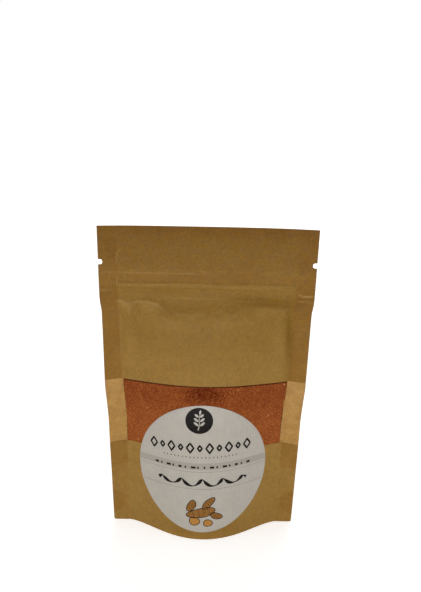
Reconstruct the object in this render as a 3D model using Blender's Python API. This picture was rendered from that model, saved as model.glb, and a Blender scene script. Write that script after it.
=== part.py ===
"""Kraft stand-up pouch of ground turmeric, with a window across its front and a round label.

Metres, +Z up, front towards -Y. The origin is at the middle of the base, on the surface it stands on.
Each sheet is laid out flat, as wide and as tall as the web it was cut from, and is then bent onto the
filled pouch: the panels bulge between the two side seals and lie flat in the seals, zip and top.
"""
import math
from functools import lru_cache

import bmesh
import bpy
import numpy as np
from mathutils import Matrix, Vector

MM = 0.001

# The pouch's flat size and its seals
WIDTH = 110 * MM
HEIGHT = 172 * MM
SIDE_SEAL = 9.5 * MM
PANEL_HALF = WIDTH / 2 - SIDE_SEAL
WINDOW_LOW = 53 * MM
WINDOW_HIGH = 90.8 * MM

# How far a panel stands out from the seam plane, halfway across, and how square its sides are, at each height
BULGE_KNOTS = [
    (0, 13.4), (30, 12.8), (60, 12.2), (78, 10.3), (88, 7.8), (100, 7.6), (112, 7.7), (128, 7.3), (140.5, 0)]
CROWN_KNOTS = [(0, 1.33), (50, 1.33), (90, 1.10), (138, 1.05), (172, 1.05)]
FIN_FLARE = math.radians(19)
FIN_FLARE_TOP = 137 * MM

# How far the header bows back at the middle of its top edge, and how that fades downwards and outwards
HEADER_BOW = 5.2 * MM
BOW_LOW = 134 * MM
BOW_RISE = 1.6
BOW_SPREAD = 4

# Sheets, thicker than life, and the gap that each keeps from the next
KRAFT = 0.35 * MM
LAMINATE = 0.45 * MM
FILM = 0.25 * MM
GUSSET_WEB = 0.3 * MM
LABEL = 0.3 * MM
GAP = 0.3 * MM

# Press-to-close zip: two flanges with a hooked rib that snaps between two lipped jaws
ZIP_LOW = 135.8 * MM
ZIP_HIGH = 149.3 * MM
ZIP_LINE = 142.4 * MM
FLANGE = 0.3 * MM
FLANGE_INNER = 0.9 * MM
JAW_HALF = 1.25 * MM
JAW_WALL = 0.4 * MM
LIP_HALF = 0.65 * MM
LIP_LOW, LIP_HIGH = -0.5 * MM, -0.2 * MM
RIB_HALF = 0.35 * MM
HOOK_HALF = 0.95 * MM
HOOK_LOW, HOOK_HIGH = -0.5 * MM, -0.1 * MM

# Tear notches in the side seals
NOTCH_HEIGHT = 154.1 * MM
NOTCH_DEPTH = 2.1 * MM
NOTCH_CUTTER_RADIUS = 3 * MM
NOTCH_CUTTER_LENGTH = 12 * MM

# Bottom gusset: one web folded in half, its folded edge up, with its corners punched
GUSSET = 35 * MM
FOLD_MIDDLE = 1.25
FOLD_SEAL = 30
FOLD_SQUARING = 6
FOLD_STEPS = 7
FOLD_CROWDING = 1.6
SHOULDER_FROM = 0.8
SHOULDER_LOW, SHOULDER_HIGH = 0.93, 0.97
PUNCH_RADIUS = 8 * MM
PUNCH_HEIGHT = 14 * MM
PUNCH_LENGTH = 20 * MM
PUNCH_SIDES = 20

# Ground turmeric
POWDER_TOP = 97 * MM
POWDER_REACH = 0.92
POWDER_SKIN = 0.25 * MM
POWDER_FOOT = 2 * MM
POWDER_STATIONS = 19
POWDER_ROWS = 14
POCKET_WIDTH = 0.5 * MM
POCKET_GAP = 0.36 * MM
POCKET_ROWS = 5
SADDLE_SQUARING = 8

# Round label
LABEL_RADIUS = 37.4 * MM
LABEL_ACROSS = -0.8 * MM
LABEL_CENTRE = 42.7 * MM
LABEL_SIDES = 44
LABEL_RINGS = 5

# Half the space between the panels: none in the seals, more round the zip and the gusset's two legs
SEALED = GAP / 2
ROUND_GUSSET = SEALED + GUSSET_WEB + GAP
ROUND_ZIP = FLANGE_INNER + FLANGE + GAP
SPACE_KNOTS = [
    (0, ROUND_GUSSET), (38 * MM, ROUND_GUSSET), (46 * MM, SEALED), (128 * MM, SEALED),
    (134.5 * MM, ROUND_ZIP), (151 * MM, ROUND_ZIP), (157 * MM, SEALED), (HEIGHT, SEALED),
]

# Rows and columns that every sheet shares, so that neighbours bend alike
ROW_HEIGHTS = [value * MM for value in (
    0, 9, 18, 28, 38, 46, 53, 62, 72, 82, 90.8, 98, 106, 114, 121, 128, 131.5, 134.5, 137.5,
    140.5, 151, 157, 164.5, 172)]
PANEL_COLUMNS = 18
COLUMN_CROWDING = 0.35
SECTION_STEPS = 60
HALVINGS = 40
FRONT, BACK = -1, 1


def smooth_through(knots, value):
    """Reads a smooth curve through the knots, with no overshoot between them."""
    places = np.array([knot[0] for knot in knots], float)
    levels = np.array([knot[1] for knot in knots], float)
    steps = np.diff(levels) / np.diff(places)
    inner = [0 if a * b <= 0 else 2 * a * b / (a + b) for a, b in zip(steps, steps[1:])]
    slopes = np.array([steps[0]] + inner + [0])
    value = min(max(value, places[0]), places[-1])
    i = min(int(np.searchsorted(places, value, side="right")) - 1, len(steps) - 1)
    span = places[i + 1] - places[i]
    t = (value - places[i]) / span
    rise = t * t * (3 - 2 * t)
    return (levels[i] * (1 - rise) + levels[i + 1] * rise
            + span * slopes[i] * t * (1 - t) ** 2 - span * slopes[i + 1] * t * t * (1 - t))


def bulge(height):
    """How far a panel's middle stands out from the seam plane."""
    return smooth_through(BULGE_KNOTS, height / MM) * MM


def space(height):
    """Half the space between the panels, measured from the surface halfway between them."""
    places, values = zip(*SPACE_KNOTS)
    return float(np.interp(height, places, values))


@lru_cache(maxsize=None)
def half_section(height):
    """Returns x and depth along half a panel, from its middle to its seal, at the sheet's true width."""
    across = np.linspace(0, 1, SECTION_STEPS + 1)
    crown = smooth_through(CROWN_KNOTS, height / MM)
    depth = bulge(height) * np.cos(across * math.pi / 2).clip(0) ** crown
    sheet_step = PANEL_HALF / SECTION_STEPS
    sideways = np.sqrt(sheet_step ** 2 - np.diff(depth) ** 2)
    return np.concatenate([[0], np.cumsum(sideways)]), depth


def header_bow(across, height):
    """How far back the sealed header stands at this place: most at the middle of its top edge."""
    rise = max(0.0, (height - BOW_LOW) / (HEIGHT - BOW_LOW))
    share = min(1.0, abs(across) / (WIDTH / 2))
    return HEADER_BOW * rise ** BOW_RISE * (1 - share ** BOW_SPREAD)


def middle_point(side, across, height):
    """Returns x and y where the flat sheet's point lies on the surface between the panels."""
    xs, depths = half_section(round(height, 7))
    over = abs(across) - PANEL_HALF
    if over > 0:
        flare = FIN_FLARE * math.sin(math.pi * min(height, FIN_FLARE_TOP) / FIN_FLARE_TOP)
        x, y = xs[-1] + over * math.cos(flare), -over * math.sin(flare)
    else:
        place = abs(across) / PANEL_HALF * SECTION_STEPS
        x = np.interp(place, range(SECTION_STEPS + 1), xs)
        y = side * np.interp(place, range(SECTION_STEPS + 1), depths)
    return math.copysign(x, across), y + header_bow(across, height)


def bend(side, across, offset, height):
    """Returns the point at this place on the flat sheet, offset outwards, level with its height."""
    reach = 1 * MM
    x0, y0 = middle_point(side, across - reach, height)
    x1, y1 = middle_point(side, across + reach, height)
    x, y = middle_point(side, across, height)
    length = math.hypot(x1 - x0, y1 - y0)
    return Vector((x - side * (y1 - y0) / length * offset, y + side * (x1 - x0) / length * offset, height))


def columns(reach=WIDTH / 2):
    """Returns the places across a sheet, crowded where the panels curve, with the seals at both ends."""
    inner = [PANEL_HALF * (math.sin(math.pi / 2 * t) * COLUMN_CROWDING + t * (1 - COLUMN_CROWDING))
             for t in np.linspace(-1, 1, PANEL_COLUMNS + 1)]
    places = [-WIDTH / 2] + inner + [WIDTH / 2]
    return [place for place in places if abs(place) <= reach + 1e-9]


def rows(low, high):
    """Returns the shared row heights from low to high, with both ends."""
    return [low] + [row for row in ROW_HEIGHTS if low + 1 * MM < row < high - 1 * MM] + [high]


def material(name, colour, roughness, alpha=1.0):
    """Makes a plain Principled material."""
    made = bpy.data.materials.new(name)
    made.use_nodes = True
    shader = made.node_tree.nodes["Principled BSDF"]
    shader.inputs["Base Color"].default_value = (*colour, 1.0)
    shader.inputs["Roughness"].default_value = roughness
    shader.inputs["Alpha"].default_value = alpha
    made.diffuse_color = (*colour, alpha)
    return made


def finish(name, mesh_data, collection, surface):
    """Turns a bmesh into a named object in the collection, with its faces out."""
    bmesh.ops.recalc_face_normals(mesh_data, faces=mesh_data.faces)
    mesh = bpy.data.meshes.new(name)
    mesh_data.to_mesh(mesh)
    mesh_data.free()
    made = bpy.data.objects.new(name, mesh)
    if surface:
        mesh.materials.append(surface)
        mesh.shade_smooth()
        mesh.set_sharp_from_angle(angle=math.radians(40))
    collection.objects.link(made)
    return made


def bend_sheet(mesh_data, side, inner, thickness):
    """Thickens a flat sheet drawn in x and y, and bends it onto the pouch; inner(height) is its offset."""
    bmesh.ops.recalc_face_normals(mesh_data, faces=mesh_data.faces)
    bmesh.ops.solidify(mesh_data, geom=mesh_data.faces[:], thickness=thickness)
    middle = sum(vert.co.z for vert in mesh_data.verts) / len(mesh_data.verts)
    for vert in mesh_data.verts:
        outward = thickness if vert.co.z > middle else 0
        vert.co = bend(side, vert.co.x, inner(vert.co.y) + outward, vert.co.y)


def panel(name, collection, surface, side, low, high, inner, thickness):
    """Makes a sheet as wide as the pouch, from low to high."""
    places, heights = columns(), rows(low, high)
    mesh_data = bmesh.new()
    bmesh.ops.create_grid(mesh_data, x_segments=len(places) - 1, y_segments=len(heights) - 1, size=0.5)
    for vert in mesh_data.verts:
        column = round((vert.co.x + 0.5) * (len(places) - 1))
        row = round((vert.co.y + 0.5) * (len(heights) - 1))
        vert.co = (places[column], heights[row], 0)
    bend_sheet(mesh_data, side, inner, thickness)
    return finish(name, mesh_data, collection, surface)


def loft(name, collection, surface, sections):
    """Joins outlines with equal numbers of points into a closed solid with flat ends."""
    mesh_data = bmesh.new()
    loops = [[mesh_data.verts.new(point) for point in section] for section in sections]
    for near, far in zip(loops, loops[1:]):
        for i in range(len(near)):
            j = (i + 1) % len(near)
            mesh_data.faces.new((near[i], near[j], far[j], far[i]))
    mesh_data.faces.new(loops[0])
    mesh_data.faces.new(reversed(loops[-1]))
    return finish(name, mesh_data, collection, surface)


def film_offset(height):
    """The clear web's inner face."""
    return space(height)


def kraft_offset(height):
    """The front paper's inner face, over the clear web."""
    return space(height) + FILM + GAP


def label_offset(height):
    """The label's inner face, over the front paper."""
    return kraft_offset(height) + KRAFT + GAP


def prism_cutter(name, collection, sides, radius, length, place, turn):
    """Makes a hidden prism that lies along y, for cutting through every sheet there."""
    mesh_data = bmesh.new()
    bmesh.ops.create_cone(mesh_data, cap_ends=True, segments=sides, radius1=radius, radius2=radius,
                          depth=length, matrix=Matrix.Rotation(math.pi / 2, 4, "X"))
    bmesh.ops.rotate(mesh_data, verts=mesh_data.verts, matrix=Matrix.Rotation(turn, 3, "Y"))
    cutter = finish(name, mesh_data, collection, None)
    cutter.location = place
    cutter.hide_render = True
    cutter.display_type = "WIRE"
    return cutter


def cut(target, cutters):
    """Cuts the target with each cutter by a live modifier."""
    for cutter in cutters:
        boolean = target.modifiers.new("cut by " + cutter.name, "BOOLEAN")
        boolean.operation = "DIFFERENCE"
        boolean.solver = "EXACT"
        boolean.object = cutter


def notch_cutters(collection):
    """Makes the two V cutters, whose inner points give the tear notches their depth."""
    radius, length = NOTCH_CUTTER_RADIUS, NOTCH_CUTTER_LENGTH
    made = []
    for name, side in (("notch_cutter_left", -1), ("notch_cutter_right", 1)):
        place = (side * (WIDTH / 2 - NOTCH_DEPTH + radius), 0, NOTCH_HEIGHT)
        turn = -side * math.pi / 2
        made.append(prism_cutter(name, collection, 3, radius, length, place, turn))
    return made


def zip_outline(hooked):
    """Returns the track's outline as offset and height: the hooked rib, or the two lipped jaws."""
    outer, inner = FLANGE_INNER + FLANGE, FLANGE_INNER
    below = [height for height in rows(ZIP_LOW, ZIP_LINE) if height < ZIP_LINE - 1.5 * JAW_HALF]
    line = ZIP_LINE
    jaw = JAW_HALF + JAW_WALL
    if hooked:
        half = [(inner, RIB_HALF), (HOOK_HIGH, RIB_HALF), (HOOK_HIGH, HOOK_HALF), (HOOK_LOW, HOOK_HALF)]
    else:
        half = [(inner, jaw), (LIP_LOW, jaw), (LIP_LOW, LIP_HALF), (LIP_HIGH, LIP_HALF),
                (LIP_HIGH, JAW_HALF), (inner, JAW_HALF)]
    points = [(outer, height) for height in below] + [(outer, ZIP_HIGH), (inner, ZIP_HIGH)]
    points += [(offset, line + rise) for offset, rise in half]
    points += [(offset, line - rise) for offset, rise in reversed(half)]
    return points + [(inner, height) for height in reversed(below)]


def zip_track(name, collection, surface, side, hooked):
    """Makes one of the zip's two tracks, sealed along its panel from edge to edge."""
    places = columns()
    places = places[:2] + places[2:-2:3] + places[-2:]
    sections = [[bend(side, across, offset, height) for offset, height in zip_outline(hooked)]
                for across in places]
    return loft(name, collection, surface, sections)


def fold_shape(across):
    """Returns the fold's height and how square-shouldered the folded web is, at this place across."""
    outward = ROUND_GUSSET - GAP
    depth = abs(bend(FRONT, across, outward, 0).y)
    if abs(across) > PANEL_HALF:
        return GUSSET, FOLD_SEAL
    share = abs(across) / PANEL_HALF
    square = FOLD_MIDDLE + (FOLD_SEAL - FOLD_MIDDLE) * share ** FOLD_SQUARING
    return math.sqrt(GUSSET ** 2 - depth ** 2), square


def gusset_half_depth(across, height):
    """Returns the seam's y at this place, and how far the folded web's outer face is from it."""
    fold, square = fold_shape(across)
    outer = bend(FRONT, across, ROUND_GUSSET - GAP, height)
    seam = middle_point(FRONT, across, height)[1] if abs(across) > PANEL_HALF else 0.0
    return seam, abs(outer.y - seam) * max(0.0, 1 - (height / fold) ** square), outer.x


def inner_fold(across):
    """Returns the height at which the folded web's two inner faces meet."""
    low, high = 0.0, fold_shape(across)[0]
    for _ in range(HALVINGS):
        middle = (low + high) / 2
        if gusset_half_depth(across, middle)[1] > GUSSET_WEB:
            low = middle
        else:
            high = middle
    return low


def gusset_section(across):
    """Returns the folded web's outline: up the front, over the fold, down the back, and back inside."""
    steps = FOLD_STEPS
    shares = [1 - (1 - i / steps) ** FOLD_CROWDING for i in range(steps + 1)]
    if abs(across) > PANEL_HALF * SHOULDER_FROM:
        shares = [i / (steps - 2) * SHOULDER_LOW for i in range(steps - 1)] + [SHOULDER_HIGH, 1.0]
    outer, inner = [], []
    for share in shares:
        for top, line, web in ((fold_shape(across)[0], outer, 0), (inner_fold(across), inner, GUSSET_WEB)):
            height = share * top
            seam, depth, x = gusset_half_depth(across, height)
            line.append((x, seam, max(0.0, depth - web), height))
    front_out = [(x, seam - depth, z) for x, seam, depth, z in outer]
    back_out = [(x, seam + depth, z) for x, seam, depth, z in reversed(outer[:-1])]
    back_in = [(x, seam + depth, z) for x, seam, depth, z in inner[:-1]]
    front_in = [(x, seam - depth, z) for x, seam, depth, z in reversed(inner)]
    return front_out + back_out + back_in + front_in


def gusset(name, collection, cutters, surface):
    """Makes the folded bottom web, its two corners punched so that the panels seal through them."""
    made = loft(name, collection, surface, [gusset_section(across) for across in columns()])
    punches = []
    for label, side in (("punch_left", -1), ("punch_right", 1)):
        edge = bend(FRONT, side * WIDTH / 2, 0, PUNCH_HEIGHT)
        punches.append(prism_cutter(label, cutters, PUNCH_SIDES, PUNCH_RADIUS, PUNCH_LENGTH, edge, 0))
    cut(made, punches)
    return made


def powder_section(across):
    """Returns the powder's outline: two pockets beside the folded web, joined above its fold."""
    fold, _ = fold_shape(across)
    saddle = fold + 2 * GAP
    low, high = POWDER_FOOT, saddle
    for _ in range(HALVINGS):
        middle = (low + high) / 2
        room = abs(bend(FRONT, across, -POWDER_SKIN, middle).y) - gusset_half_depth(across, middle)[1] - GAP
        if room > POCKET_WIDTH:
            high = middle
        else:
            low = middle
    pocket = min(high, saddle - 2 * GAP)
    outer, inner = [], []
    for share in np.linspace(0, 1, POWDER_ROWS):
        height = pocket + (POWDER_TOP - pocket) * share
        point = bend(FRONT, across, -POWDER_SKIN, height)
        outer.append((point.x, abs(point.y), height))
    for share in np.linspace(0, 1, POCKET_ROWS):
        height = pocket + (saddle - pocket) * share
        _, depth, x = gusset_half_depth(across, height)
        limit = abs(bend(FRONT, across, -POWDER_SKIN, height).y) - POCKET_WIDTH / 2
        wall = max(0.0, min(depth + POCKET_GAP, limit))
        inner.append((x, wall * (1 - share ** SADDLE_SQUARING), height))
    front = [(x, -depth, z) for x, depth, z in outer]
    back = [(x, depth, z) for x, depth, z in reversed(outer)]
    under_back = [(x, depth, z) for x, depth, z in inner]
    under_front = [(x, -depth, z) for x, depth, z in reversed(inner[:-1])]
    return front + back + under_back + under_front


def powder(name, collection, surface):
    """Makes the ground turmeric, which fills the pouch to just above the window."""
    places = np.linspace(-POWDER_REACH, POWDER_REACH, POWDER_STATIONS) * PANEL_HALF
    return loft(name, collection, surface, [powder_section(across) for across in places])


def label(name, collection, surface):
    """Makes the round label, stuck over the lower paper and the window's lower half."""
    mesh_data = bmesh.new()
    bmesh.ops.create_circle(mesh_data, cap_ends=True, segments=LABEL_SIDES, radius=LABEL_RADIUS)
    centre_face = mesh_data.faces[:]
    for _ in range(LABEL_RINGS - 1):
        bmesh.ops.inset_individual(mesh_data, faces=centre_face, thickness=LABEL_RADIUS / LABEL_RINGS)
    bmesh.ops.poke(mesh_data, faces=centre_face)
    bmesh.ops.translate(mesh_data, verts=mesh_data.verts, vec=(LABEL_ACROSS, LABEL_CENTRE, 0))
    bend_sheet(mesh_data, FRONT, label_offset, LABEL)
    return finish(name, mesh_data, collection, surface)


def build():
    """Clears the scene and makes every piece of the pouch."""
    for old in list(bpy.data.objects):
        bpy.data.objects.remove(old, do_unlink=True)
    pouch = bpy.data.collections.new("turmeric_pouch")
    cutters = bpy.data.collections.new("cutters")
    for collection in (pouch, cutters):
        bpy.context.scene.collection.children.link(collection)

    kraft = material("kraft paper", (0.270, 0.160, 0.044), 0.85)
    inner_kraft = material("kraft laminate", (0.290, 0.180, 0.055), 0.8)
    clear = material("clear film", (0.90, 0.90, 0.88), 0.15, alpha=0.25)
    zip_plastic = material("zip plastic", (0.80, 0.80, 0.78), 0.4, alpha=0.6)
    turmeric = material("ground turmeric", (0.230, 0.068, 0.018), 0.95)
    white_paper = material("label paper", (0.42, 0.40, 0.37), 0.6)

    upper = panel("front_kraft_upper", pouch, kraft, FRONT, WINDOW_HIGH, HEIGHT, kraft_offset, KRAFT)
    panel("front_kraft_lower", pouch, kraft, FRONT, 0, WINDOW_LOW, kraft_offset, KRAFT)
    film = panel("front_film", pouch, clear, FRONT, 0, HEIGHT, film_offset, FILM)
    back = panel("back_panel", pouch, inner_kraft, BACK, 0, HEIGHT, film_offset, LAMINATE)
    notches = notch_cutters(cutters)
    for sheet in (upper, film, back):
        cut(sheet, notches)

    zip_track("zip_track_front", pouch, zip_plastic, FRONT, hooked=False)
    zip_track("zip_track_back", pouch, zip_plastic, BACK, hooked=True)
    gusset("gusset_panel", pouch, cutters, inner_kraft)
    powder("powder_fill", pouch, turmeric)
    label("label_disc", pouch, white_paper)


build()
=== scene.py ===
"""Looks of the kraft stand-up pouch of ground turmeric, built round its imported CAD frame.

Sizes are millimetres on the flat sheets, before they are bent onto the filled pouch: across from the
middle, to the right as the front is seen, and up from the base. Meshes are written in metres, in the
frame's own axes: front towards -Y, up along +Z, the origin at the middle of the base.
"""
import logging
import math
from dataclasses import dataclass, field
from enum import Enum
from functools import cached_property
from typing import Callable, Sequence

import bmesh
import bpy
import numpy as np
from mathutils import Matrix, Vector

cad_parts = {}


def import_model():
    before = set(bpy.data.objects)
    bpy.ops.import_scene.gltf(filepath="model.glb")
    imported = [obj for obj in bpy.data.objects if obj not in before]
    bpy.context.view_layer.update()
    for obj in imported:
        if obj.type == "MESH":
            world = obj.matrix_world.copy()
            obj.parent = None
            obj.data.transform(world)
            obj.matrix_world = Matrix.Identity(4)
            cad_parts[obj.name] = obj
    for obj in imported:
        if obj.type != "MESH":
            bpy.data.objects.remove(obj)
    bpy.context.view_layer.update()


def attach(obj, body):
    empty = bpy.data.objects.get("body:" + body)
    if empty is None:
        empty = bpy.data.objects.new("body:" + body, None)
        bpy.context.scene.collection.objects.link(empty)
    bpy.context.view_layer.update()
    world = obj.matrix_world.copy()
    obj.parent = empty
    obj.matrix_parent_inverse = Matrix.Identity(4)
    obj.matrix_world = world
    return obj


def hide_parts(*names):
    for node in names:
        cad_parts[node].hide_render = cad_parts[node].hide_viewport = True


log = logging.getLogger("pouch")

MM = 0.001
# Millimetres of flat sheet in one unit of its UV map, and the map's margin left of and below it
SHEET_UNIT = 200.0
SHEET_MARGIN = 5.0
SHARP_ANGLE = math.radians(40)
# How near two corners are merged, and how short an edge is dissolved, in metres
WELD = 1e-7
SLIVER = 1e-8
Point = tuple[float, float]
Colour = tuple[float, float, float]
Values = np.ndarray
Offset = Callable[[Values, Values], Values]
Piece = bpy.types.Object
Material = bpy.types.Material
Node = bpy.types.Node
Socket = bpy.types.NodeSocket
Tree = bpy.types.NodeTree
MeshData = bmesh.types.BMesh


class Side(Enum):
    """The pouch's two panels, as the sign of y that each bulges towards."""

    FRONT = -1
    BACK = 1


def smooth_step(value: Values, low: float, high: float) -> Values:
    """Returns 0 below low, 1 above high and a smooth rise between them."""
    t = np.clip((value - low) / (high - low), 0, 1)
    return t * t * (3 - 2 * t)


def smooth_through(knots: Sequence[Point], value: Values) -> Values:
    """Reads a smooth curve through knots, with no overshoot between them.

    Args:
        knots: places and levels, in rising order of place.
        value: where the curve is read.

    Returns:
        The curve's level at each value, held level past both ends.
    """
    places, levels = (np.array(column, float) for column in zip(*knots))
    steps = np.diff(levels) / np.diff(places)
    before, after = steps[:-1], steps[1:]
    total = before + after
    inner = np.where(before * after > 0, 2 * before * after / np.where(total == 0, 1, total), 0)
    slopes = np.concatenate([steps[:1], inner, [0]])
    value = np.clip(value, places[0], places[-1])
    i = np.clip(np.searchsorted(places, value, side="right") - 1, 0, len(steps) - 1)
    span = places[i + 1] - places[i]
    t = (value - places[i]) / span
    rise = t * t * (3 - 2 * t)
    return (levels[i] * (1 - rise) + levels[i + 1] * rise
            + span * slopes[i] * t * (1 - t) ** 2 - span * slopes[i + 1] * t * t * (1 - t))


@dataclass(frozen=True)
class Swell:
    """A soft rise or dip in a sheet."""

    across: float
    up: float
    wide: float
    tall: float
    rise: float
    lean: float = 0.0

    def lift(self, across: Values, up: Values) -> Values:
        """Returns how far the sheet stands out for this swell."""
        turn = math.radians(self.lean)
        side, rise = across - self.across, up - self.up
        along = (side * math.cos(turn) + rise * math.sin(turn)) / self.wide
        over = (rise * math.cos(turn) - side * math.sin(turn)) / self.tall
        return self.rise * np.exp(-(along ** 2 + over ** 2))


@dataclass(frozen=True)
class Crease:
    """A line creased or folded into a sheet, pale where the paper has cracked and where a highlight is
    painted along it.
    """

    path: tuple[Point, ...]
    rise: float
    half_width: float = 0.7
    wear_and_highlight: float = 0.0
    wear_and_highlight_width: float = 0.45

    def distance(self, across: Values, up: Values) -> tuple[Values, Values]:
        """Measures how near each place is to the line.

        Args:
            across: places across the sheet.
            up: places up the sheet.

        Returns:
            The distance to the line, and a fade that falls to nothing at its two ends.
        """
        points = np.array(self.path, float)
        lengths = np.hypot(*np.diff(points, axis=0).T)
        total, start = lengths.sum(), 0.0
        nearest = np.full(np.shape(across), np.inf)
        along = np.zeros(np.shape(across))
        for (x0, y0), (x1, y1), length in zip(points, points[1:], lengths):
            t = np.clip(((across - x0) * (x1 - x0) + (up - y0) * (y1 - y0)) / length ** 2, 0, 1)
            gap = np.hypot(across - x0 - t * (x1 - x0), up - y0 - t * (y1 - y0))
            along = np.where(gap < nearest, (start + t * length) / total, along)
            nearest = np.minimum(gap, nearest)
            start += length
        return nearest, np.sqrt(np.clip(np.sin(np.pi * along), 0, 1))

    def lift(self, across: Values, up: Values) -> Values:
        """Returns how far the sheet stands out along this crease."""
        nearest, fade = self.distance(across, up)
        return self.rise * fade * np.exp(-(nearest / self.half_width) ** 2)

    def paleness(self, across: Values, up: Values) -> Values:
        """Returns how pale the paper is along this crease, from 0 to 1: cracked paper and a painted
        highlight.
        """
        nearest, fade = self.distance(across, up)
        return self.wear_and_highlight * fade * np.exp(-(nearest / self.wear_and_highlight_width) ** 2)


@dataclass(frozen=True)
class Relief:
    """All the dents, puffs and creases of one panel, and its painted shade and painted highlights."""

    swells: tuple[Swell, ...] = ()
    creases: tuple[Crease, ...] = ()
    painted_shading: tuple[Swell, ...] = ()

    def lift(self, across: Values, up: Values) -> Values:
        """Returns how far the panel stands out from its smooth form."""
        total = np.zeros(np.broadcast(across, up).shape)
        for mark in (*self.swells, *self.creases):
            total = total + mark.lift(across, up)
        return total

    def paleness(self, across: Values, up: Values) -> Values:
        """Returns how pale the panel's paper is, from 0 to 1: cracked creases and painted highlights."""
        total = np.zeros(np.broadcast(across, up).shape)
        for crease in self.creases:
            total = np.maximum(total, crease.paleness(across, up))
        return total

    def tone(self, across: Values, up: Values) -> Values:
        """Returns the painted shade that this panel's shading marks add, less where they paint highlights.
        """
        return sum((tone.lift(across, up) for tone in self.painted_shading), np.zeros(np.shape(across)))


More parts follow.
